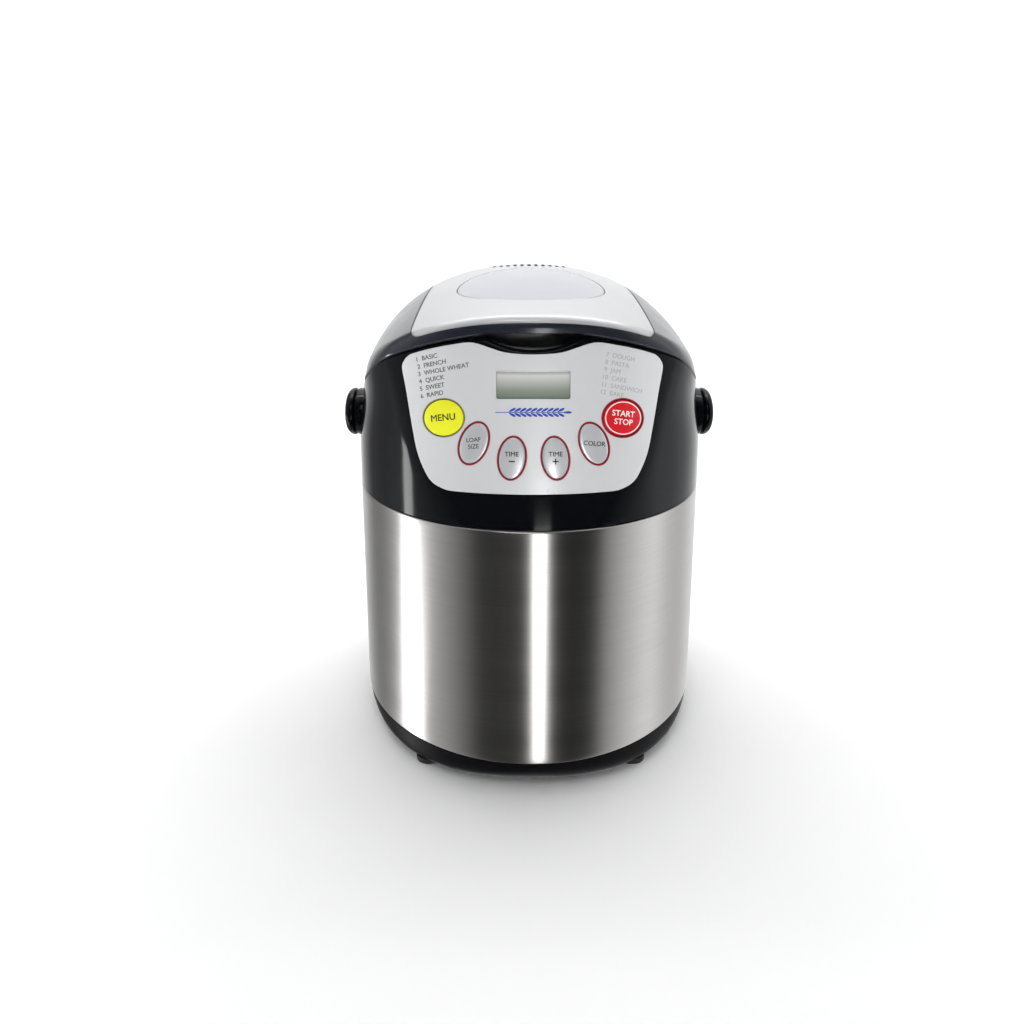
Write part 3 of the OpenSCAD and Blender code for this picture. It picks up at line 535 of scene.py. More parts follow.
def brushed(name, base, low, high, stretch, depth=0.00003):
    """Brushed metal: long fine scratches round the Z axis, which draw reflections out along Z."""
    material, tree, shader = node_material(name, base, low, 1.0, Anisotropic=0.85, Anisotropic_Rotation=0.25)
    round_z = tree.nodes.new("ShaderNodeTangent")
    round_z.direction_type = "RADIAL"
    round_z.axis = "Z"
    tree.links.new(round_z.outputs["Tangent"], shader.inputs["Tangent"])
    scratch = add_noise(tree, 60, 8, stretch, 0.7)
    broad = add_noise(tree, 6, 2, tuple(s * 0.25 for s in stretch))
    mottled(tree, shader, scratch, scaled(base, 0.80), scaled(base, 1.12))
    wandering(tree, shader, broad, low, high)
    add_bump(tree, shader, scratch.outputs["Fac"], 0.35, depth)
    return material


def metal(name, base, roughness, scale=300.0, depth=0.00002):
    """Plain machined or pressed metal with slight tarnish."""
    material, tree, shader = node_material(name, base, roughness, 1.0)
    tarnish = add_noise(tree, scale, 5)
    mottled(tree, shader, tarnish, scaled(base, 0.82), base)
    wandering(tree, shader, tarnish, roughness * 0.8, roughness * 1.3)
    add_bump(tree, shader, tarnish.outputs["Fac"], 0.2, depth)
    return material


def coated(name, base, roughness):
    """Non-stick coating: satin dark paint with a fine sparkle."""
    material, tree, shader = node_material(name, base, roughness, 0.3)
    speck = add_noise(tree, 2600, 2)
    mottled(tree, shader, speck, base, scaled(base, 2.1))
    add_bump(tree, shader, speck.outputs["Fac"], 0.3, 0.00002)
    return material


def glass(name, tint):
    material, tree, shader = node_material(name, tint, 0.05, Transmission_Weight=1.0, IOR=1.5)
    wandering(tree, shader, add_noise(tree, 35, 3), 0.05, 0.10)
    return material


def display_painted_shade():
    """Grey-green display under a glossy cover, with painted shade: darker towards its foot, and a painted
    shadow of the recess along its top edge.
    """
    material, tree, shader = node_material(
        "display", (0.3, 0.34, 0.3), 0.45, Coat_Weight=0.2, Coat_Roughness=0.1)
    coords = tree.nodes.new("ShaderNodeTexCoord")
    split = tree.nodes.new("ShaderNodeSeparateXYZ")
    shade = tree.nodes.new("ShaderNodeMapRange")
    low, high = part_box("lcd_lens")
    shade.inputs["From Min"].default_value = low[2]
    shade.inputs["From Max"].default_value = high[2]
    tree.links.new(coords.outputs["Object"], split.inputs["Vector"])
    tree.links.new(split.outputs["Z"], shade.inputs["Value"])
    ramp = tree.nodes.new("ShaderNodeValToRGB")
    # colour stops from foot to top: the rise from a dark foot to a pale band is painted shade, and the dark
    # stops at the top are a painted shadow of the recess's upper edge
    stops = [
        (0.0, (0.13, 0.17, 0.125)), (0.3, (0.21, 0.25, 0.20)), (0.6, (0.40, 0.41, 0.38)),
        (0.82, (0.56, 0.56, 0.53)), (0.93, (0.30, 0.30, 0.28)), (1.0, (0.05, 0.05, 0.05)),
    ]
    for i, (at, colour) in enumerate(stops):
        stop = ramp.color_ramp.elements[0] if i == 0 else ramp.color_ramp.elements.new(at)
        stop.position = at
        stop.color = (*colour, 1)
    tree.links.new(shade.outputs["Result"], ramp.inputs["Fac"])
    tree.links.new(ramp.outputs["Color"], shader.inputs["Base Color"])
    return material


M = {
    "gloss_black": plastic("gloss_black", (0.003, 0.0033, 0.0045), 0.10, 700, 0.00001, ior=1.22),
    "lid_dark": plastic("lid_dark", (0.014, 0.016, 0.024), 0.20, 700, 0.00001, coat=0.2),
    "base_black": plastic("base_black", (0.004, 0.004, 0.005), 0.38, 1100, 0.00002, ior=1.13),
    "silver": silver_paint("silver", (0.56, 0.565, 0.58), 0.34),
    "fascia": silver_paint("fascia", (0.72, 0.725, 0.74), 0.30, 0.25),
    "window": silver_paint("window", (0.45, 0.465, 0.50), 0.20, 0.2),
    "key_silver": silver_paint("key_silver", (0.70, 0.71, 0.73), 0.28, 0.45),
    "key_yellow": plastic("key_yellow", (0.80, 0.80, 0.02), 0.25, 800, 0.00001, coat=0.2),
    "key_red": plastic("key_red", (0.62, 0.008, 0.016), 0.26, 800, 0.00001, coat=0.2),
    "ring_red": plastic("ring_red", (0.30, 0.012, 0.025), 0.35),
    "ring_olive": plastic("ring_olive", (0.20, 0.20, 0.08), 0.35),
    "print_black": plastic("print_black", (0.02, 0.02, 0.022), 0.5),
    "print_grey": plastic("print_grey", (0.09, 0.09, 0.10), 0.5),
    "print_faint": plastic("print_faint", (0.40, 0.40, 0.41), 0.5),
    "print_white": plastic("print_white", (0.85, 0.85, 0.85), 0.5),
    "print_blue": plastic("print_blue", (0.012, 0.06, 0.42), 0.4),
    "rubber": plastic("rubber", (0.015, 0.015, 0.015), 0.7, 1500, 0.00005),
    "steel": brushed("steel", (0.58, 0.565, 0.55), 0.27, 0.33, (0.35, 0.35, 26), 0.00001),
    "liner": brushed("liner", (0.55, 0.56, 0.57), 0.30, 0.42, (1.2, 1.2, 18)),
    "zinc": metal("zinc", (0.55, 0.56, 0.58), 0.3),
    "alloy": metal("alloy", (0.50, 0.51, 0.52), 0.45, 500, 0.00004),
    "element": metal("element", (0.10, 0.095, 0.09), 0.5, 200, 0.00003),
    "bronze": metal("bronze", (0.45, 0.28, 0.12), 0.4),
    "chassis": plastic("chassis", (0.20, 0.21, 0.22), 0.45),
    "board": plastic("board", (0.02, 0.13, 0.05), 0.35),
    "ceramic": plastic("ceramic", (0.72, 0.69, 0.62), 0.4),
    "coating": coated("coating", (0.030, 0.030, 0.033), 0.38),
    "silicone": plastic("silicone", (0.35, 0.07, 0.045), 0.55),
    "inner_glass": glass("inner_glass", (0.86, 0.90, 0.90)),
    "display": display_painted_shade(),
}


# ---------------------------------------------------------------- lower body


def rounded_edge(radius):
    """Inset and drop pairs round a quarter circle, from the wall to the top."""
    return [
        (radius * (1 - math.cos(a)), radius * (1 - math.sin(a)))
        for a in np.linspace(0, math.pi / 2, 5)
    ]


def slot_cutter(x0, x1, y0, y1, z, half_h):
    """A bar with round ends, along X, that cuts one louvre."""
    ys, zs = [], []
    for centre, start in ((y1 - half_h, -math.pi / 2), (y0 + half_h, math.pi / 2)):
        for a in np.linspace(start, start + math.pi, 9):
            ys.append(centre + half_h * math.cos(a))
            zs.append(z + half_h * math.sin(a))
    rings = [np.column_stack([np.full(len(ys), x), ys, zs]) for x in (x0, x1)]
    return rings_piece("cutter", rings, M["base_black"], closed=False)


def joined(objects):
    mesh = merged("joined", [o.data.copy() for o in objects])
    for o in objects:
        bpy.data.objects.remove(o)
    obj = bpy.data.objects.new("joined", mesh)
    bpy.context.scene.collection.objects.link(obj)
    return obj


def one_piece(name, objects, material):
    """The objects as a single piece."""
    obj = joined(objects)
    piece = add_object(name, obj.data, material)
    bpy.data.objects.remove(obj)
    return piece


LOUVRES = 8
LOUVRE_Z = 107.3
LOUVRE_PITCH = 6


def make_steel():
    body = outline()
    skin_t = 1.2
    rings = [at_height(inset(body, r), WRAP_Z0 + d) for r, d in reversed(rounded_edge(0.8))]
    rings += [at_height(body, z) for z in np.linspace(WRAP_Z0 + 4, WRAP_Z1 - 4, 24)]
    rings += [at_height(inset(body, r), WRAP_Z1 - d) for r, d in rounded_edge(1.0)]
    rings += [at_height(inset(body, 4.0), WRAP_Z1), at_height(inset(body, 4.0), WRAP_Z1 - skin_t)]
    rings += [at_height(inset(body, skin_t), WRAP_Z1 - skin_t), at_height(inset(body, skin_t), WRAP_Z0)]
    steel = rings_piece("steel_skin", rings, M["steel"])
    louvres = [slot_cutter(110, 140, 2, 26, LOUVRE_Z + LOUVRE_PITCH * i, 1.3) for i in range(LOUVRES)]
    cut_away(steel, joined(louvres))
    tidy_piece(steel, "housing", "steel_brushed", *STEEL)


def make_base():
    # height, draw-in from the body's outline, and power of the front's curve
    profile = [
        (FEET_H, 40, 2.6), (FEET_H, 14.5, 2.45), (FEET_H + 0.6, 12.6, 2.42), (FEET_H + 2.2, 9.8, 2.36),
        (9, 6, 2.25), (12, 3.6, 2.16), (15, 1.9, 2.08), (18, 0.9, 2.03), (WRAP_Z0 - 0.7, 0.35, 2.0),
        (WRAP_Z0 - 0.2, 0.9, 2.0), (WRAP_Z0 - 0.1, 8, 2.0),
    ]
    rings = [at_height(outline(HALF_W - shrink, HALF_D - shrink, power), z) for z, shrink, power in profile]
    base = rings_piece("base_shell", rings, M["base_black"], closed=False)
    tidy_piece(base, "housing", "black_plastic", "base_tray")


def make_feet():
    t = around(48)
    profile = [
        (3.6, 0.9), (3.9, 0.1), (4.6, 0), (7.6, 0), (8.6, 0.4), (9, 1.2), (9, FEET_H + 0.4), (6, FEET_H + 0.5),
    ]
    feet = []
    for cx, cy in [(-69, -126), (69, -126), (-80, 118), (80, 118)]:
        rings = [at_height(np.column_stack([cx + r * np.cos(t), cy + r * np.sin(t)]), z) for r, z in profile]
        feet.append(rings_piece("foot", rings, M["rubber"], closed=False))
    tidy_piece(one_piece("feet", feet, M["rubber"]), "housing", "rubber_foot", "rubber_feet")


# ---------------------------------------------------------------- collar, the upper housing

SCOOP_R = 62.0
SCOOP_Z = 280.3
MOUTH_A = 80.0
MOUTH_B = 104.0
SKIRT_Z = 223.3
WALL = 4.0
FASCIA_POCKET = 2.2


def scoop_z(x):
    return SCOOP_Z + SCOOP_R - np.sqrt(np.maximum(SCOOP_R**2 - np.minimum(np.abs(x), 45) ** 2, 1))


def deck_z(x, y):
    return smooth_min(seam_z(y), scoop_z(x), 1.2)


def on_deck(curve, sunk=0.0):
    return at_height(curve, deck_z(curve[:, 0], curve[:, 1]) - sunk)


def collar_curve(body, z):
    """Plan outline of the collar at height z, cut by the tilted face with a soft crease."""
    x, y = body[:, 0], body[:, 1]
    face = np.where(y < 40, face_y_at(x, z), -500)
    return np.stack([x, smooth_max(y, face, 2.6)], axis=1)


def within(loop, x, v):
    """Which points lie inside a closed loop on the face."""
    inside = np.zeros(len(x), bool)
    ax, av = loop[:, 0], loop[:, 1]
    bx, bv = np.roll(ax, -1), np.roll(av, -1)
    for i in range(len(loop)):
        crosses = (av[i] > v) != (bv[i] > v)
        at = ax[i] + (bx[i] - ax[i]) * (v - av[i]) / (bv[i] - av[i] if bv[i] != av[i] else 1)
        inside ^= crosses & (x < at)
    return inside


def behind_fascia(points):
    """Sinks the wall where the control panel covers it, to leave room for the display's recess."""
    x, z = points[:, 0], points[:, 2]
    v = face_up(x, z)
    covered = (points[:, 1] < 0) & within(inset(fascia_loop()[::3], 2.5), x, v)
    points[covered, 1] += FASCIA_POCKET
    return points


def mouth_curve(reference, grow):
    t = by_angle(reference, AXIS_Y)
    a, b = MOUTH_A + grow, MOUTH_B + grow
    r = ((np.abs(np.cos(t)) / a) ** 14 + (np.abs(np.sin(t)) / b) ** 14) ** (-1 / 14)
    return np.stack([r * np.cos(t), AXIS_Y + r * np.sin(t)], axis=1)


def top_of(body):
    """Height where each column of the collar meets the deck."""
    z = np.full(len(body), 240.0)
    for _ in range(12):
        y = collar_curve(body, z)[:, 1]
        z = deck_z(body[:, 0], y)
    return z


def make_collar():
    body = outline()
    top = top_of(body)
    near_scoop = np.clip((40 - np.abs(body[:, 0])) / 8, 0, 1) * (body[:, 1] < 0)
    edge = 0.9 + 1.9 * near_scoop
    rows = [at_height(collar_curve(inset(body, 1.0), WRAP_Z1 + 0.1), WRAP_Z1 + 0.1)]
    for s in np.linspace(0, 1, 44):
        z = WRAP_Z1 + 0.9 + s * (top - edge - WRAP_Z1 - 0.9)
        rows.append(behind_fascia(at_height(collar_curve(body, z), z)))
    for a in np.linspace(0.15, 1, 7) * math.pi / 2:
        z = top - edge * (1 - math.sin(a))
        rows.append(at_height(inset(collar_curve(body, z), edge * (1 - math.cos(a))), z))
    rim = rows[-1][:, :2]
    mouth = mouth_curve(rim, 1.2)
    for s in np.linspace(0, 1, 22)[1:]:
        rows.append(on_deck(rim + s * (mouth - rim)))
    inner, outer, hollow = mouth_curve(rim, 0.0), mouth_curve(rim, 3.6), inset(rim, 3.0)
    rows += [on_deck(inner, 1.0), at_height(inner, SKIRT_Z), at_height(outer, SKIRT_Z)]
    for s in (0, 0.5, 1):
        rows.append(on_deck(outer + s * (hollow - outer), WALL))
    rows.append(at_height(inset(collar_curve(body, WRAP_Z1), 4.2), WRAP_Z1 + 0.1))
    collar = rings_piece("collar", [shouldered(r) for r in rows], M["gloss_black"], smooth_angle=50)
    tidy_piece(collar, "housing", "dark_gloss", "upper_housing")


HINGE_Y = 160.0
EAR_R = 6


def make_ears():
    """Round-topped hinge ears that stand on the collar's rear deck."""
    pin_low, pin_high = mm_box("hinge_pins")
    hinge_z = (pin_low[2] + pin_high[2]) / 2
    foot_z = SEAM_REAR_Z - 1
    top = [(HINGE_Y + EAR_R * math.cos(a), hinge_z + EAR_R * math.sin(a)) for a in np.linspace(0, math.pi, 17)]
    profile = np.array([(HINGE_Y + EAR_R + 0.5, foot_z), *top, (HINGE_Y - EAR_R - 0.5, foot_z)])
    middle = profile.mean(axis=0)
    pieces = []
    for side in (-1, 1):
        for x0, x1 in ((48, 54), (66, 72)):
            edges = ((0, 0.93), (0.25, 0.98), (0.6, 1))
            steps = [(x0 + d, shrink) for d, shrink in edges]
            steps += [(x1 - d, shrink) for d, shrink in reversed(edges)]
            rings = []
            for x, shrink in steps:
                yz = middle + (profile - middle) * shrink
                rings.append(np.column_stack([np.full(len(yz), side * x), yz]))
            pieces.append(rings_piece("ear", rings, M["gloss_black"], closed=False))
    tidy_piece(one_piece("hinge_ears", pieces, M["gloss_black"]), "housing", "dark_gloss")


def make_grip(side, name):
    """Side grip: an oval pad on a thin flange, with a groove between them."""
    low, high = mm_box("side_grip_right")
    zc = (low[2] + high[2]) / 2
    a, b = (high[1] - low[1]) / 2, (high[2] - low[2]) / 2
    outer = high[0]
    t = around(128)
    flange = [
        (-5, 0.4), (1.5, 0), (2.0, 0.25), (2.3, 0.9), (2.6, 2.2), (3.1, 2.4), (3.6, 1.4), (4.1, 0.4), (4.9, 0),
    ]
    profile = [(HALF_W + d, shrink) for d, shrink in flange]
    round_r = 5.2
    for p in np.linspace(0.2, math.pi / 2, 9):
        profile.append((outer - round_r + round_r * math.sin(p), round_r * (1 - math.cos(p))))
    profile += [(outer, 6.5), (outer - 0.5, 9.0), (outer - 0.8, 13.0)]
    rings = []
    for x, shrink in profile:
        ys, zs = (a - shrink) * np.cos(t), zc + (b - shrink) * np.sin(t)
        rings.append(np.column_stack([np.full(128, side * x), ys, zs]))
    grip = rings_piece(name, rings, M["gloss_black"], closed=False)
    tidy_piece(grip, "housing", "dark_gloss", name.replace("grip_pad", "side_grip"))


# ---------------------------------------------------------------- control panel

# right half of the panel's outline from the middle of its foot to the middle of its top, as x and height
FASCIA_HALF = [
    (0, 196.5), (25, 196.5), (42, 196.5), (50, 196.6), (54.5, 197.4), (60.5, 200), (65, 205), (70.5, 217),
    (74, 233), (77.7, 254), (80.2, 267), (79, 271.5), (76.6, 274.4), (73.4, 276.3), (63, 279.6),
    (51, 282.4), (39.5, 284.4), (33, 283.8), (25, 281.4), (15.5, 278.9), (0, 278),
]

# x, z, half width, half height, turn in degrees, as in the CAD
KEYS = {
    "menu": (-53.8, 239.6, 12.2, 10.8, 0),
    "loaf": (-35.4, 225.7, 7.9, 12.6, -22),
    "minus": (-12.6, 217.8, 7.7, 12.3, -7),
    "plus": (13.2, 217.8, 7.7, 12.3, 7),
    "colour": (36.4, 225.4, 7.9, 12.6, 22),
    "start": (54.2, 239.4, 12.2, 10.8, 0),
}
TALL_KEYS = ("loaf", "minus", "plus", "colour")

# half width of the display, and the heights of its foot and top
LCD = (22.0, 252.4, 268.8)
LCD_CORNER = 1.2


def smooth_loop(points, n):
    """A closed Catmull-Rom curve through the points, at n even steps."""
    p = np.asarray(points, float)
    out = []
    for i in range(len(p)):
        p0, p1, p2, p3 = p[i - 1], p[i], p[(i + 1) % len(p)], p[(i + 2) % len(p)]
        square, cube = 2 * p0 - 5 * p1 + 4 * p2 - p3, 3 * p1 - p0 - 3 * p2 + p3
        for t in np.linspace(0, 1, 12, endpoint=False):
            out.append(0.5 * (2 * p1 + (p2 - p0) * t + square * t**2 + cube * t**3))
    return resample(np.array(out), n)


def fascia_loop():
    half = [(x, float(face_up(x, z))) for x, z in FASCIA_HALF]
    full = half + [(-x, v) for x, v in reversed(half) if x > 0]
    return smooth_loop(full, 420)


def key_loop(key, grow, n=72):
    x, z, a, b, turn = KEYS[key]
    t = around(n)
    c, s = math.cos(math.radians(turn)), math.sin(math.radians(turn))
    px, py = (a + grow) * np.cos(t), (b + grow) * np.sin(t)
    return np.stack([x + px * c - py * s, float(face_up(x, z)) + px * s + py * c], axis=1)


def lcd_loop(grow):
    """The display's outline with rounded corners."""
    half, z0, z1 = LCD
    v0, v1 = float(face_up(0, z0)) - grow, float(face_up(0, z1)) + grow
    half += grow
    r = LCD_CORNER
    points = []
    right, left, low, high = half - r, -half + r, v0 + r, v1 - r
    for cx, cy, start in ((right, high, 0), (left, high, 90), (left, low, 180), (right, low, 270)):
        for a in np.linspace(start, start + 90, 7):
            points.append((cx + r * math.cos(math.radians(a)), cy + r * math.sin(math.radians(a))))
    return np.array(points)


def face_plate(name, loops, rise, thickness, bevel, material):
    """A plate laid on the control face, its outer surface at rise over the face."""
    mesh = flat_shape(name, loops, thickness, bevel)
    cut_strips(mesh, 2.5)
    bend_onto_face(mesh, rise - thickness / 2)
    outward(mesh)
    return add_object(name, mesh, material, 35)


def make_fascia():
    holes = [key_loop(k, 0.9) for k in KEYS] + [lcd_loop(0.0)]
    fascia = face_plate("fascia_plate", [fascia_loop()] + holes, 0.35, 1.6, 0.3, M["fascia"])
    tidy_piece(fascia, "housing", "silver_plastic", "fascia")


def make_rings():
    """Thin coloured outlines around the keys."""
    def ring(name, key, outer, inner, material):
        return face_plate(name, [key_loop(key, outer), key_loop(key, inner)], 0.55, 1.0, 0.12, material)

    reds = [ring("ring", key, 1.25, 0.35, M["ring_red"]) for key in TALL_KEYS]
    reds.append(ring("ring", "start", 1.3, 0.5, M["ring_red"]))
    tidy_piece(one_piece("key_rings", reds, M["ring_red"]), "housing", "ring_red", "button_rings")
    tidy_piece(ring("menu_ring", "menu", 1.0, 0.35, M["ring_olive"]), "housing", "ring_red")


def make_display():
    lens = face_plate("display_lens", [lcd_loop(-0.05)], -0.75, 0.8, 0.1, M["display"])
    tidy_piece(lens, "housing", "lens", "lcd_lens")


# heights over the face: a key's rim, the dome over the rim, the key's back; and the rim's radius
KEY_EDGE = 0.55
KEY_DOME = 0.6
KEY_BACK = -0.6
KEY_ROUND = 0.5


def key_lift(key, x, v):
    """Height of a key's dome at a point, over the key's own rim."""
    kx, kz, a, b, turn = KEYS[key]
    c, s = math.cos(math.radians(-turn)), math.sin(math.radians(-turn))
    dx, dv = np.asarray(x) - kx, np.asarray(v) - float(face_up(kx, kz))
    u, w = (dx * c - dv * s) / a, (dx * s + dv * c) / b
    return KEY_DOME * np.maximum(0, 1 - (u**2 + w**2))


def make_key(key, material, slot):
    """Domed cap with a rounded rim, from its back to its middle."""
    x, z, a, b, _ = KEYS[key]
    middle = np.array([x, float(face_up(x, z))])
    loop = key_loop(key, 0.0, 96)
    steps = [(0.6, KEY_BACK), (1.0, KEY_BACK), (1.0, KEY_EDGE - KEY_ROUND)]
    for p in np.linspace(0.25, 1, 4) * math.pi / 2:
        steps.append((1 - KEY_ROUND * (1 - math.cos(p)) / min(a, b), KEY_EDGE - KEY_ROUND * (1 - math.sin(p))))
    rings = [face_points(at_height(middle + s * (loop - middle), d)) for s, d in steps]
    for s in (0.9, 0.8, 0.68, 0.55, 0.42, 0.28, 0.14, 0.04):
        flat = middle + s * (loop - middle)
        lift = KEY_EDGE + key_lift(key, flat[:, 0], flat[:, 1])
        rings.append(face_points(at_height(flat, lift)))
    cap = rings_piece(key + "_cap", rings, material, closed=False)
    tidy_piece(cap, key + "_key", slot, key + "_button")


SIGN_SCALE = 1.9


def print_on_key(key, name, lines, size, pitch, material, slot, weight=0.0, turn=0.0):
    """Words on a key, one line under another; a lone sign is drawn larger."""
    x, z, *_ = KEYS[key]
    v = float(face_up(x, z))
    parts = []
    for i, words in enumerate(lines):
        part = lettering(name, words, size if len(words) > 1 else size * SIGN_SCALE, weight)
        moved(part, x, v + pitch * ((len(lines) - 1) / 2 - i), turn)
        parts.append(part)
    mesh = merged(name, parts)
    bend_onto_face(mesh, KEY_EDGE + 0.03, lambda px, pv: key_lift(key, px, pv))
    tidy_piece(add_object(name, mesh, material), key + "_key", slot)


def make_keys():
    make_key("menu", M["key_yellow"], "key_yellow")
    make_key("start", M["key_red"], "key_red")
    for key in TALL_KEYS:
        make_key(key, M["key_silver"], "key_silver")
    black, white = M["print_black"], M["print_white"]
    print_on_key("menu", "menu_word", ["MENU"], 5.6, 0, black, "key_yellow", 0.08, math.radians(5))
    print_on_key("start", "start_words", ["START", "STOP"], 4.9, 5.0, white, "key_red", 0.05, math.radians(-5))
    print_on_key("loaf", "loaf_words", ["LOAF", "SIZE"], 3.6, 4.0, black, "key_silver", 0.02, math.radians(4))
    print_on_key("minus", "minus_words", ["TIME", "−"], 3.9, 4.6, black, "key_silver", 0.05)
    print_on_key("plus", "plus_words", ["TIME", "+"], 3.9, 4.6, black, "key_silver", 0.05)
    print_on_key("colour", "colour_word", ["COLOR"], 3.9, 4.0, black, "key_silver", 0.04, math.radians(-4))
    rim = [key_loop("start", -0.9), key_loop("start", -1.45)]
    tidy_piece(face_plate("start_white_ring", rim, 1.0, 0.5, 0.05, white), "start_key", "key_red")


PROGRAMS_LEFT = ["1  BASIC", "2  FRENCH", "3  WHOLE WHEAT", "4  QUICK", "5  SWEET", "6  RAPID"]
PROGRAMS_RIGHT = ["7  DOUGH", "8  PASTA", "9  JAM", "10  CAKE", "11  SANDWICH", "12  BAKE"]
LIST_PITCH = 4.35

# print on the panel stands this far over the face
PRINT_RISE = 0.38


def make_program_list(name, words, x0, x1, z0, turn, weight, material):
    """Six numbered lines of print, set on a slant from x0 to x1."""
    parts = []
    for i, line in enumerate(words):
        part = lettering(name, line, 3.8, weight)
        xs = [v.co.x for v in part.vertices]
        start = x0 + (x1 - x0) * i / (len(words) - 1)
        for v in part.vertices:
            v.co.x -= min(xs)
        moved(part, start, float(face_up(start, z0 - LIST_PITCH * i)), turn)
        parts.append(part)
    mesh = merged(name, parts)
    bend_onto_face(mesh, PRINT_RISE)
    tidy_piece(add_object(name, mesh, material), "housing", "silver_plastic")


def grain_outline(x, v, lean, length, width):
    """A pointed seed shape that starts at (x, v) and leans off the stalk."""
    t = around(28)
    along = length * (1 - np.cos(t)) / 2
    across = width * np.sin(t) * np.abs(np.sin(t / 2)) ** 0.6
    c, s = math.cos(lean), math.sin(lean)
    return np.stack([x + along * c - across * s, v + along * s + across * c], axis=1)


def make_wheat_mark():
    """A plain blue ear of wheat lying under the display."""
    v = float(face_up(0, 244.6))
    shapes = []
    for i in range(10):
        x = -14.5 + i * 3.2
        for side in (-1, 1):
            shapes.append(grain_outline(x, v + side * 0.35, side * math.radians(27), 4.6, 0.85))
    shapes.append(grain_outline(17.4, v, 0, 5.4, 0.85))
    shapes.append(np.array([(-22.5, v - 0.22), (18, v - 0.22), (18, v + 0.22), (-22.5, v + 0.22)]))
    parts = [flat_shape("grain", [g], 0.08) for g in shapes]
    mesh = merged("wheat_mark", parts)
    cut_strips(mesh, 3.0)
    bend_onto_face(mesh, PRINT_RISE)
    tidy_piece(add_object("wheat_mark", mesh, M["print_blue"]), "housing", "silver_plastic")


# ---------------------------------------------------------------- lid


LUG_X = 60


def make_lid_frame():
    rim = lid_rim()
    seam = seam_z(rim[:, 1])
    rings = []
    for d, up in ((2.6, 0.0), (0.7, 0.0), (0.2, 0.25), (0, 0.9)):
        rings.append(on_seam(inset(rim, d), LID_GAP + up))
    hole = panel_rim(rim, 0.75)
    for a in np.linspace(0, 1, 9) * math.pi / 2:
        curve = inset(rim, LID_FILLET * (1 - math.cos(a)))
        z = lid_z(curve[:, 0], curve[:, 1]) - LID_FILLET * (1 - math.sin(a))
        floor = seam + LID_GAP + 1.2 + 2.2 * a
        ring = at_height(curve, smooth_max(z, floor, 0.8))
        past = inside_of(curve, hole)
        ring[past] = on_lid(hole)[past]
        rings.append(ring)
    edge = rings[-1][:, :2]
    for s in np.linspace(0, 1, 20)[1:-1]:
        rings.append(on_lid(edge + s * (hole - edge)))
    lip = panel_rim(rim, -4)
    rings += [on_lid(panel_rim(rim, 1.1), 0.02), on_lid(panel_rim(rim, 0.85), 0.15)]
    rings += [on_lid(hole, 0.5), on_lid(hole, 2.6), on_lid(lip, 2.6), on_lid(lip, 4.6)]
    for s in np.linspace(0, 1, 8):
        ring = panel_rim(rim, -2) + s * (inset(rim, 5.0) - panel_rim(rim, -2))
        rings.append(on_lid(ring, 4.6 + 0.6 * s))
    rings.append(on_seam(inset(rim, 3.8), LID_GAP + 1))
    lid = rings_piece("lid_shell", [shouldered(r) for r in rings], M["lid_dark"])
    slots = [box_cutter(side * LUG_X - 5.8, side * LUG_X + 5.8, 138, 158, 226, 245.4) for side in (-1, 1)]
    cut_away(lid, joined(slots))
    tidy_piece(lid, "lid", "dark_gloss", "lid_frame")


def box_cutter(x0, x1, y0, y1, z0, z1):
    square = [(x0, y0), (x1, y0), (x1, y1), (x0, y1)]
    rings = [np.array([(x, y, z) for x, y in square]) for z in (z0, z1)]
    return rings_piece("cutter", rings, M["base_black"], closed=False)


VENT_PITCH = 5.15
VENT_R = 1.25
VENT_Y = 21.0
VENT_LENGTH = 32.0


def make_top_panel():
    rim = lid_rim()
    outer, inner = panel_rim(rim), window_rim(rim, 0.0)
    edge = ((0.6, 2.3), (0, 2.2), (0, 0.5), (0.12, 0.2), (0.4, 0.04))
    rings = [on_lid(inset(outer, d), depth) for d, depth in edge]
    start = inset(outer, 0.8)
    end = window_rim(rim, 0.8)
    for s in np.linspace(0, 1, 34):
        rings.append(on_lid(start + s * (end - start)))
    rings += [on_lid(window_rim(rim, 0.4), 0.04), on_lid(window_rim(rim, 0.1), 0.2)]
    rings += [on_lid(inner, 0.5), on_lid(inner, 2.2)]
    panel = rings_piece("top_panel", rings, M["silver"])
    holes = []
    arc = np.linspace(0, math.pi, 9)
    for i in range(-5, 6):
        reach = VENT_LENGTH / 2 * math.sqrt(1 - (i / 6.2) ** 2) - VENT_R
        xs = i * VENT_PITCH + np.concatenate([VENT_R * np.cos(arc), -VENT_R * np.cos(arc)])
        ys = VENT_Y + np.concatenate([reach + VENT_R * np.sin(arc), -reach - VENT_R * np.sin(arc)])
        loops = [np.column_stack([xs, ys, np.full(len(xs), z)]) for z in (290, 340)]
        holes.append(rings_piece("cutter", loops, M["base_black"], closed=False))
    cut_away(panel, joined(holes))
    tidy_piece(panel, "lid", "silver_plastic", "lid_top_panel")


def make_window():
    rim = lid_rim()
    outer = window_rim(rim, -0.45)
    middle = np.array([0, WINDOW_Y])
    rings = [on_lid(middle + 0.5 * (outer - middle), 2.4), on_lid(outer, 2.3), on_lid(outer, 0.7),
             on_lid(inset(outer, 0.15), 0.4), on_lid(inset(outer, 0.5), 0.25)]
    for s in np.linspace(0.98, 0.03, 26):
        rings.append(on_lid(middle + s * (outer - middle), 0.2))
    window = rings_piece("window_pane", rings, M["window"], closed=False)
    tidy_piece(window, "lid", "window_glass", "lid_window")


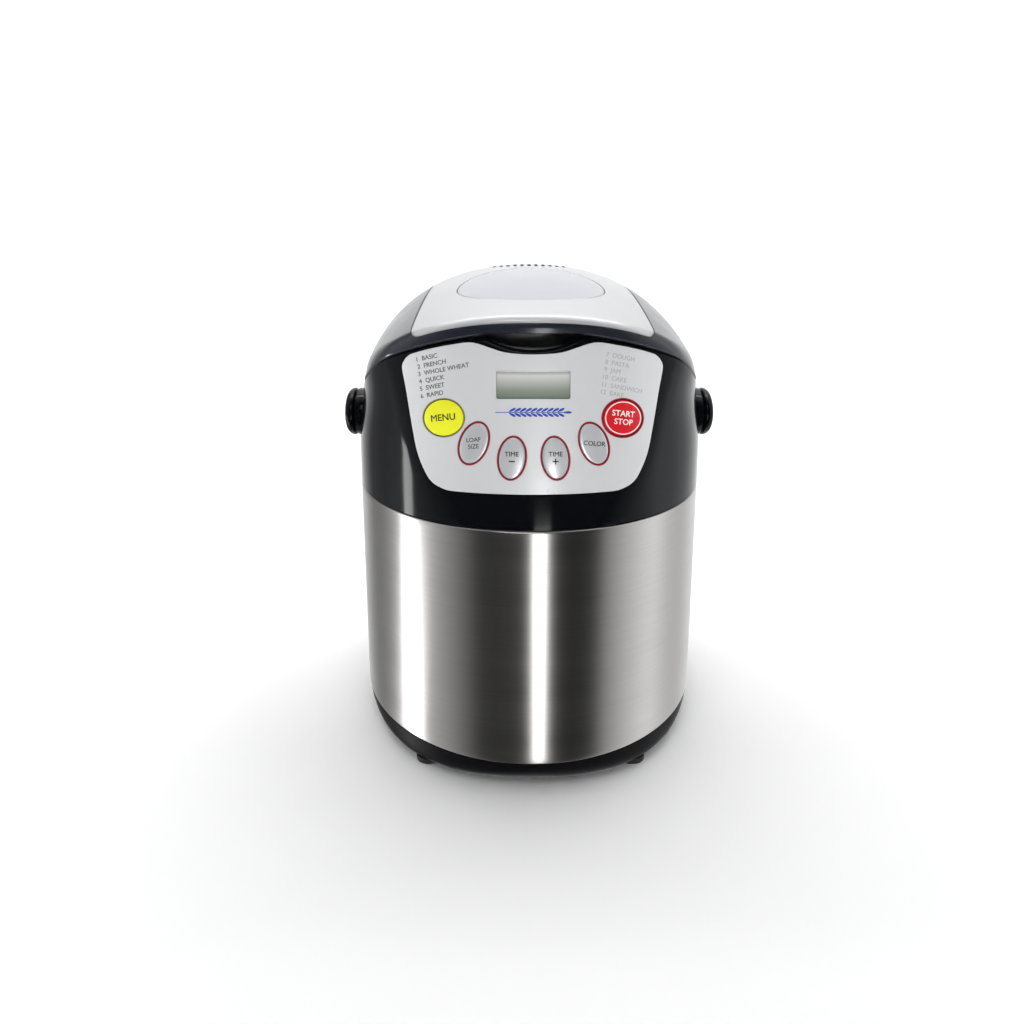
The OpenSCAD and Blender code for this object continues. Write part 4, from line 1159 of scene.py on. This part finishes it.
def make_gap_shadows():
    """Dark sheets in the gaps round the panel and the window, as painted shadow of the gaps, in the dark
    rubber material.
    """
    rim = lid_rim()
    # grow and depth of each painted-shadow sheet, for the panel's gap and the window's gap
    panel = (0.7, 2.5), (0.7, 1.4), (0, 1.4), (-0.1, 2.5)
    window = (-0.05, 2.4), (-0.05, 1.2), (-0.4, 1.2), (-0.4, 2.4)
    for name, outline_of, steps in (("panel_shadow", panel_rim, panel), ("window_shadow", window_rim, window)):
        rings = [on_lid(outline_of(rim, grow), depth) for grow, depth in steps]
        tidy_piece(rings_piece(name, rings, M["rubber"]), "lid", "gasket")


# ---------------------------------------------------------------- CAD nodes that stay

KEPT = {
    "zinc": (
        "base_screws", "temperature_sensor", "chassis_screws", "drive_shaft", "motor_shaft", "pan_shaft",
        "handle_pivots", "hinge_pins", "lid_screws", "board_screws",
    ),
    "liner": ("chamber_liner", "heat_jacket", "lid_liner"),
    "element": ("heating_element",),
    "ceramic": ("element_bushes", "thermal_fuse"),
    "chassis": ("chassis_plate", "large_pulley", "motor_pulley", "motor_body", "motor_bracket"),
    "alloy": ("chamber_posts", "bearing_housing", "drive_coupling", "pan_base_ring", "pan_coupling"),
    "bronze": ("bearing_bushes", "pan_bush"),
    "rubber": ("drive_belt", "window_gasket"),
    "board": ("power_board", "control_board"),
    "base_black": ("cord_gland", "tact_switches"),
    "coating": ("bread_pan", "kneading_paddle"),
    "gloss_black": ("pan_handle", "hinge_lugs"),
    "inner_glass": ("liner_glass",),
    "silicone": ("lid_seal",),
    "display": ("lcd_module",),
}


def dress_kept_nodes():
    for material, nodes in KEPT.items():
        for node in nodes:
            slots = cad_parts[node].data.materials
            slots.clear()
            slots.append(M[material])


# ---------------------------------------------------------------- stage, light and camera


BOWL_R = 2.6
BOWL_BEND = 0.9
BOWL_H = 2.4


def make_stage():
    """Pale round floor that sweeps up into a wall on every side, left out of reflections."""
    n = 96
    bend = np.linspace(0, math.pi / 2, 16)
    profile = [(BOWL_R - BOWL_BEND * (1 - math.sin(a)), BOWL_BEND * (1 - math.cos(a))) for a in bend]
    profile.append((BOWL_R, BOWL_H))
    points = [(r * math.cos(t), r * math.sin(t), z) for r, z in profile for t in around(n)]
    faces = [tuple(range(n))]
    for a in range(0, (len(profile) - 1) * n, n):
        faces += [(a + i, a + (i + 1) % n, a + n + (i + 1) % n, a + n + i) for i in range(n)]
    mesh = bpy.data.meshes.new("sweep")
    mesh.from_pydata(points, [], faces)
    mesh.shade_smooth()
    material, tree, shader = node_material("sweep_paper", (0.93, 0.93, 0.93), 0.9, Specular_IOR_Level=0.1)
    mottled(tree, shader, add_noise(tree, 3, 2), (0.92, 0.92, 0.92), (0.94, 0.94, 0.94))
    sweep = add_object("sweep", mesh, material)
    sweep.visible_glossy = False
    sweep.visible_shadow = False


def add_area(name, place, target, size, power, size_y=None):
    light = bpy.data.lights.new(name, "AREA")
    light.shape = "RECTANGLE"
    light.size = size
    light.size_y = size_y or size
    light.energy = power
    obj = bpy.data.objects.new(name, light)
    bpy.context.scene.collection.objects.link(obj)
    obj.location = place
    obj.rotation_euler = (Vector(target) - Vector(place)).to_track_quat("-Z", "Y").to_euler()


# Brightness of the studio all round the machine: degrees from the front, to the right, and level
STUDIO = [
    (-180, 0.85), (-163, 0.80), (-140, 0.16), (-124, 0.22), (-110, 0.50), (-88, 0.52), (-74, 0.34),
    (-58, 0.16), (-44, 0.03), (0, 0.015), (54, 0.015), (63, 0.26), (82, 0.58), (104, 0.95), (118, 0.60),
    (134, 0.50), (155, 0.80), (180, 0.85),
]


def make_world():
    """Surroundings whose brightness goes with the compass direction, which bands the steel."""
    world = bpy.data.worlds.new("studio")
    bpy.context.scene.world = world
    world.use_nodes = True
    tree = world.node_tree
    background = tree.nodes["Background"]
    background.inputs["Strength"].default_value = 1.3
    coords = tree.nodes.new("ShaderNodeTexCoord")
    split = tree.nodes.new("ShaderNodeSeparateXYZ")
    back = tree.nodes.new("ShaderNodeMath")
    back.operation = "MULTIPLY"
    back.inputs[1].default_value = -1
    compass = tree.nodes.new("ShaderNodeMath")
    compass.operation = "ARCTAN2"
    turn = tree.nodes.new("ShaderNodeMapRange")
    turn.inputs["From Min"].default_value = -math.pi
    turn.inputs["From Max"].default_value = math.pi
    ramp = tree.nodes.new("ShaderNodeValToRGB")
    stops = ramp.color_ramp.elements
    for k, (degrees, level) in enumerate(STUDIO):
        place = degrees / 360 + 0.5
        stop = stops[0] if k == 0 else stops[len(stops) - 1] if k == len(STUDIO) - 1 else stops.new(place)
        stop.position = place
        stop.color = (level * 0.985, level * 0.99, level, 1)
    tree.links.new(coords.outputs["Generated"], split.inputs["Vector"])
    tree.links.new(split.outputs["Y"], back.inputs[0])
    tree.links.new(split.outputs["X"], compass.inputs[0])
    tree.links.new(back.outputs["Value"], compass.inputs[1])
    tree.links.new(compass.outputs["Value"], turn.inputs["Value"])
    tree.links.new(turn.outputs["Result"], ramp.inputs["Fac"])
    tree.links.new(ramp.outputs["Color"], background.inputs["Color"])


def make_lights():
    """Soft boxes over the machine, and tall strips whose reflections streak the collar and the steel."""
    middle = (0, 0, 0.17)
    add_area("top_box", (0.0, 0.55, 1.35), middle, 1.7, 5, 1.1)
    add_area("key_box", (-0.25, -1.25, 1.75), middle, 0.9, 6)
    add_area("left_strip", (-1.25, 0.10, -0.42), (0, 0, -0.42), 0.17, 5.6, 0.95)
    add_area("front_strip", (0.21, -1.89, -0.35), (0, 0, -0.35), 0.28, 8.5, 1.3)
    add_area("backdrop_wash", (0, 0.9, 2.1), (0, 2.5, 0.7), 2.8, 50, 1.0)


def make_camera():
    """A camera a little left of centre, looking down on the machine by about 15 degrees."""
    camera = bpy.data.cameras.new("camera")
    camera.sensor_width = 36
    camera.lens = 33.79
    camera.shift_y = -0.0039
    obj = bpy.data.objects.new("camera", camera)
    bpy.context.scene.collection.objects.link(obj)
    obj.location = (-0.0126, -0.7193, 0.3379)
    obj.rotation_euler = (math.radians(90 - 15.08), 0, 0)
    bpy.context.scene.camera = obj
    bpy.context.scene.view_settings.view_transform = "Standard"


make_camera()
make_stage()
make_world()
make_lights()
make_steel()
make_base()
make_feet()
make_collar()
make_ears()
make_grip(1, "grip_pad_right")
make_grip(-1, "grip_pad_left")
make_fascia()
make_rings()
make_display()
make_keys()
make_program_list("programs_left", PROGRAMS_LEFT, -70.5, -68, 272.8, math.radians(9), 0.04, M["print_grey"])
make_program_list("programs_right", PROGRAMS_RIGHT, 43.5, 40.5, 277.4, math.radians(-9), 0, M["print_faint"])
make_wheat_mark()
make_lid_frame()
make_top_panel()
make_window()
make_gap_shadows()
dress_kept_nodes()
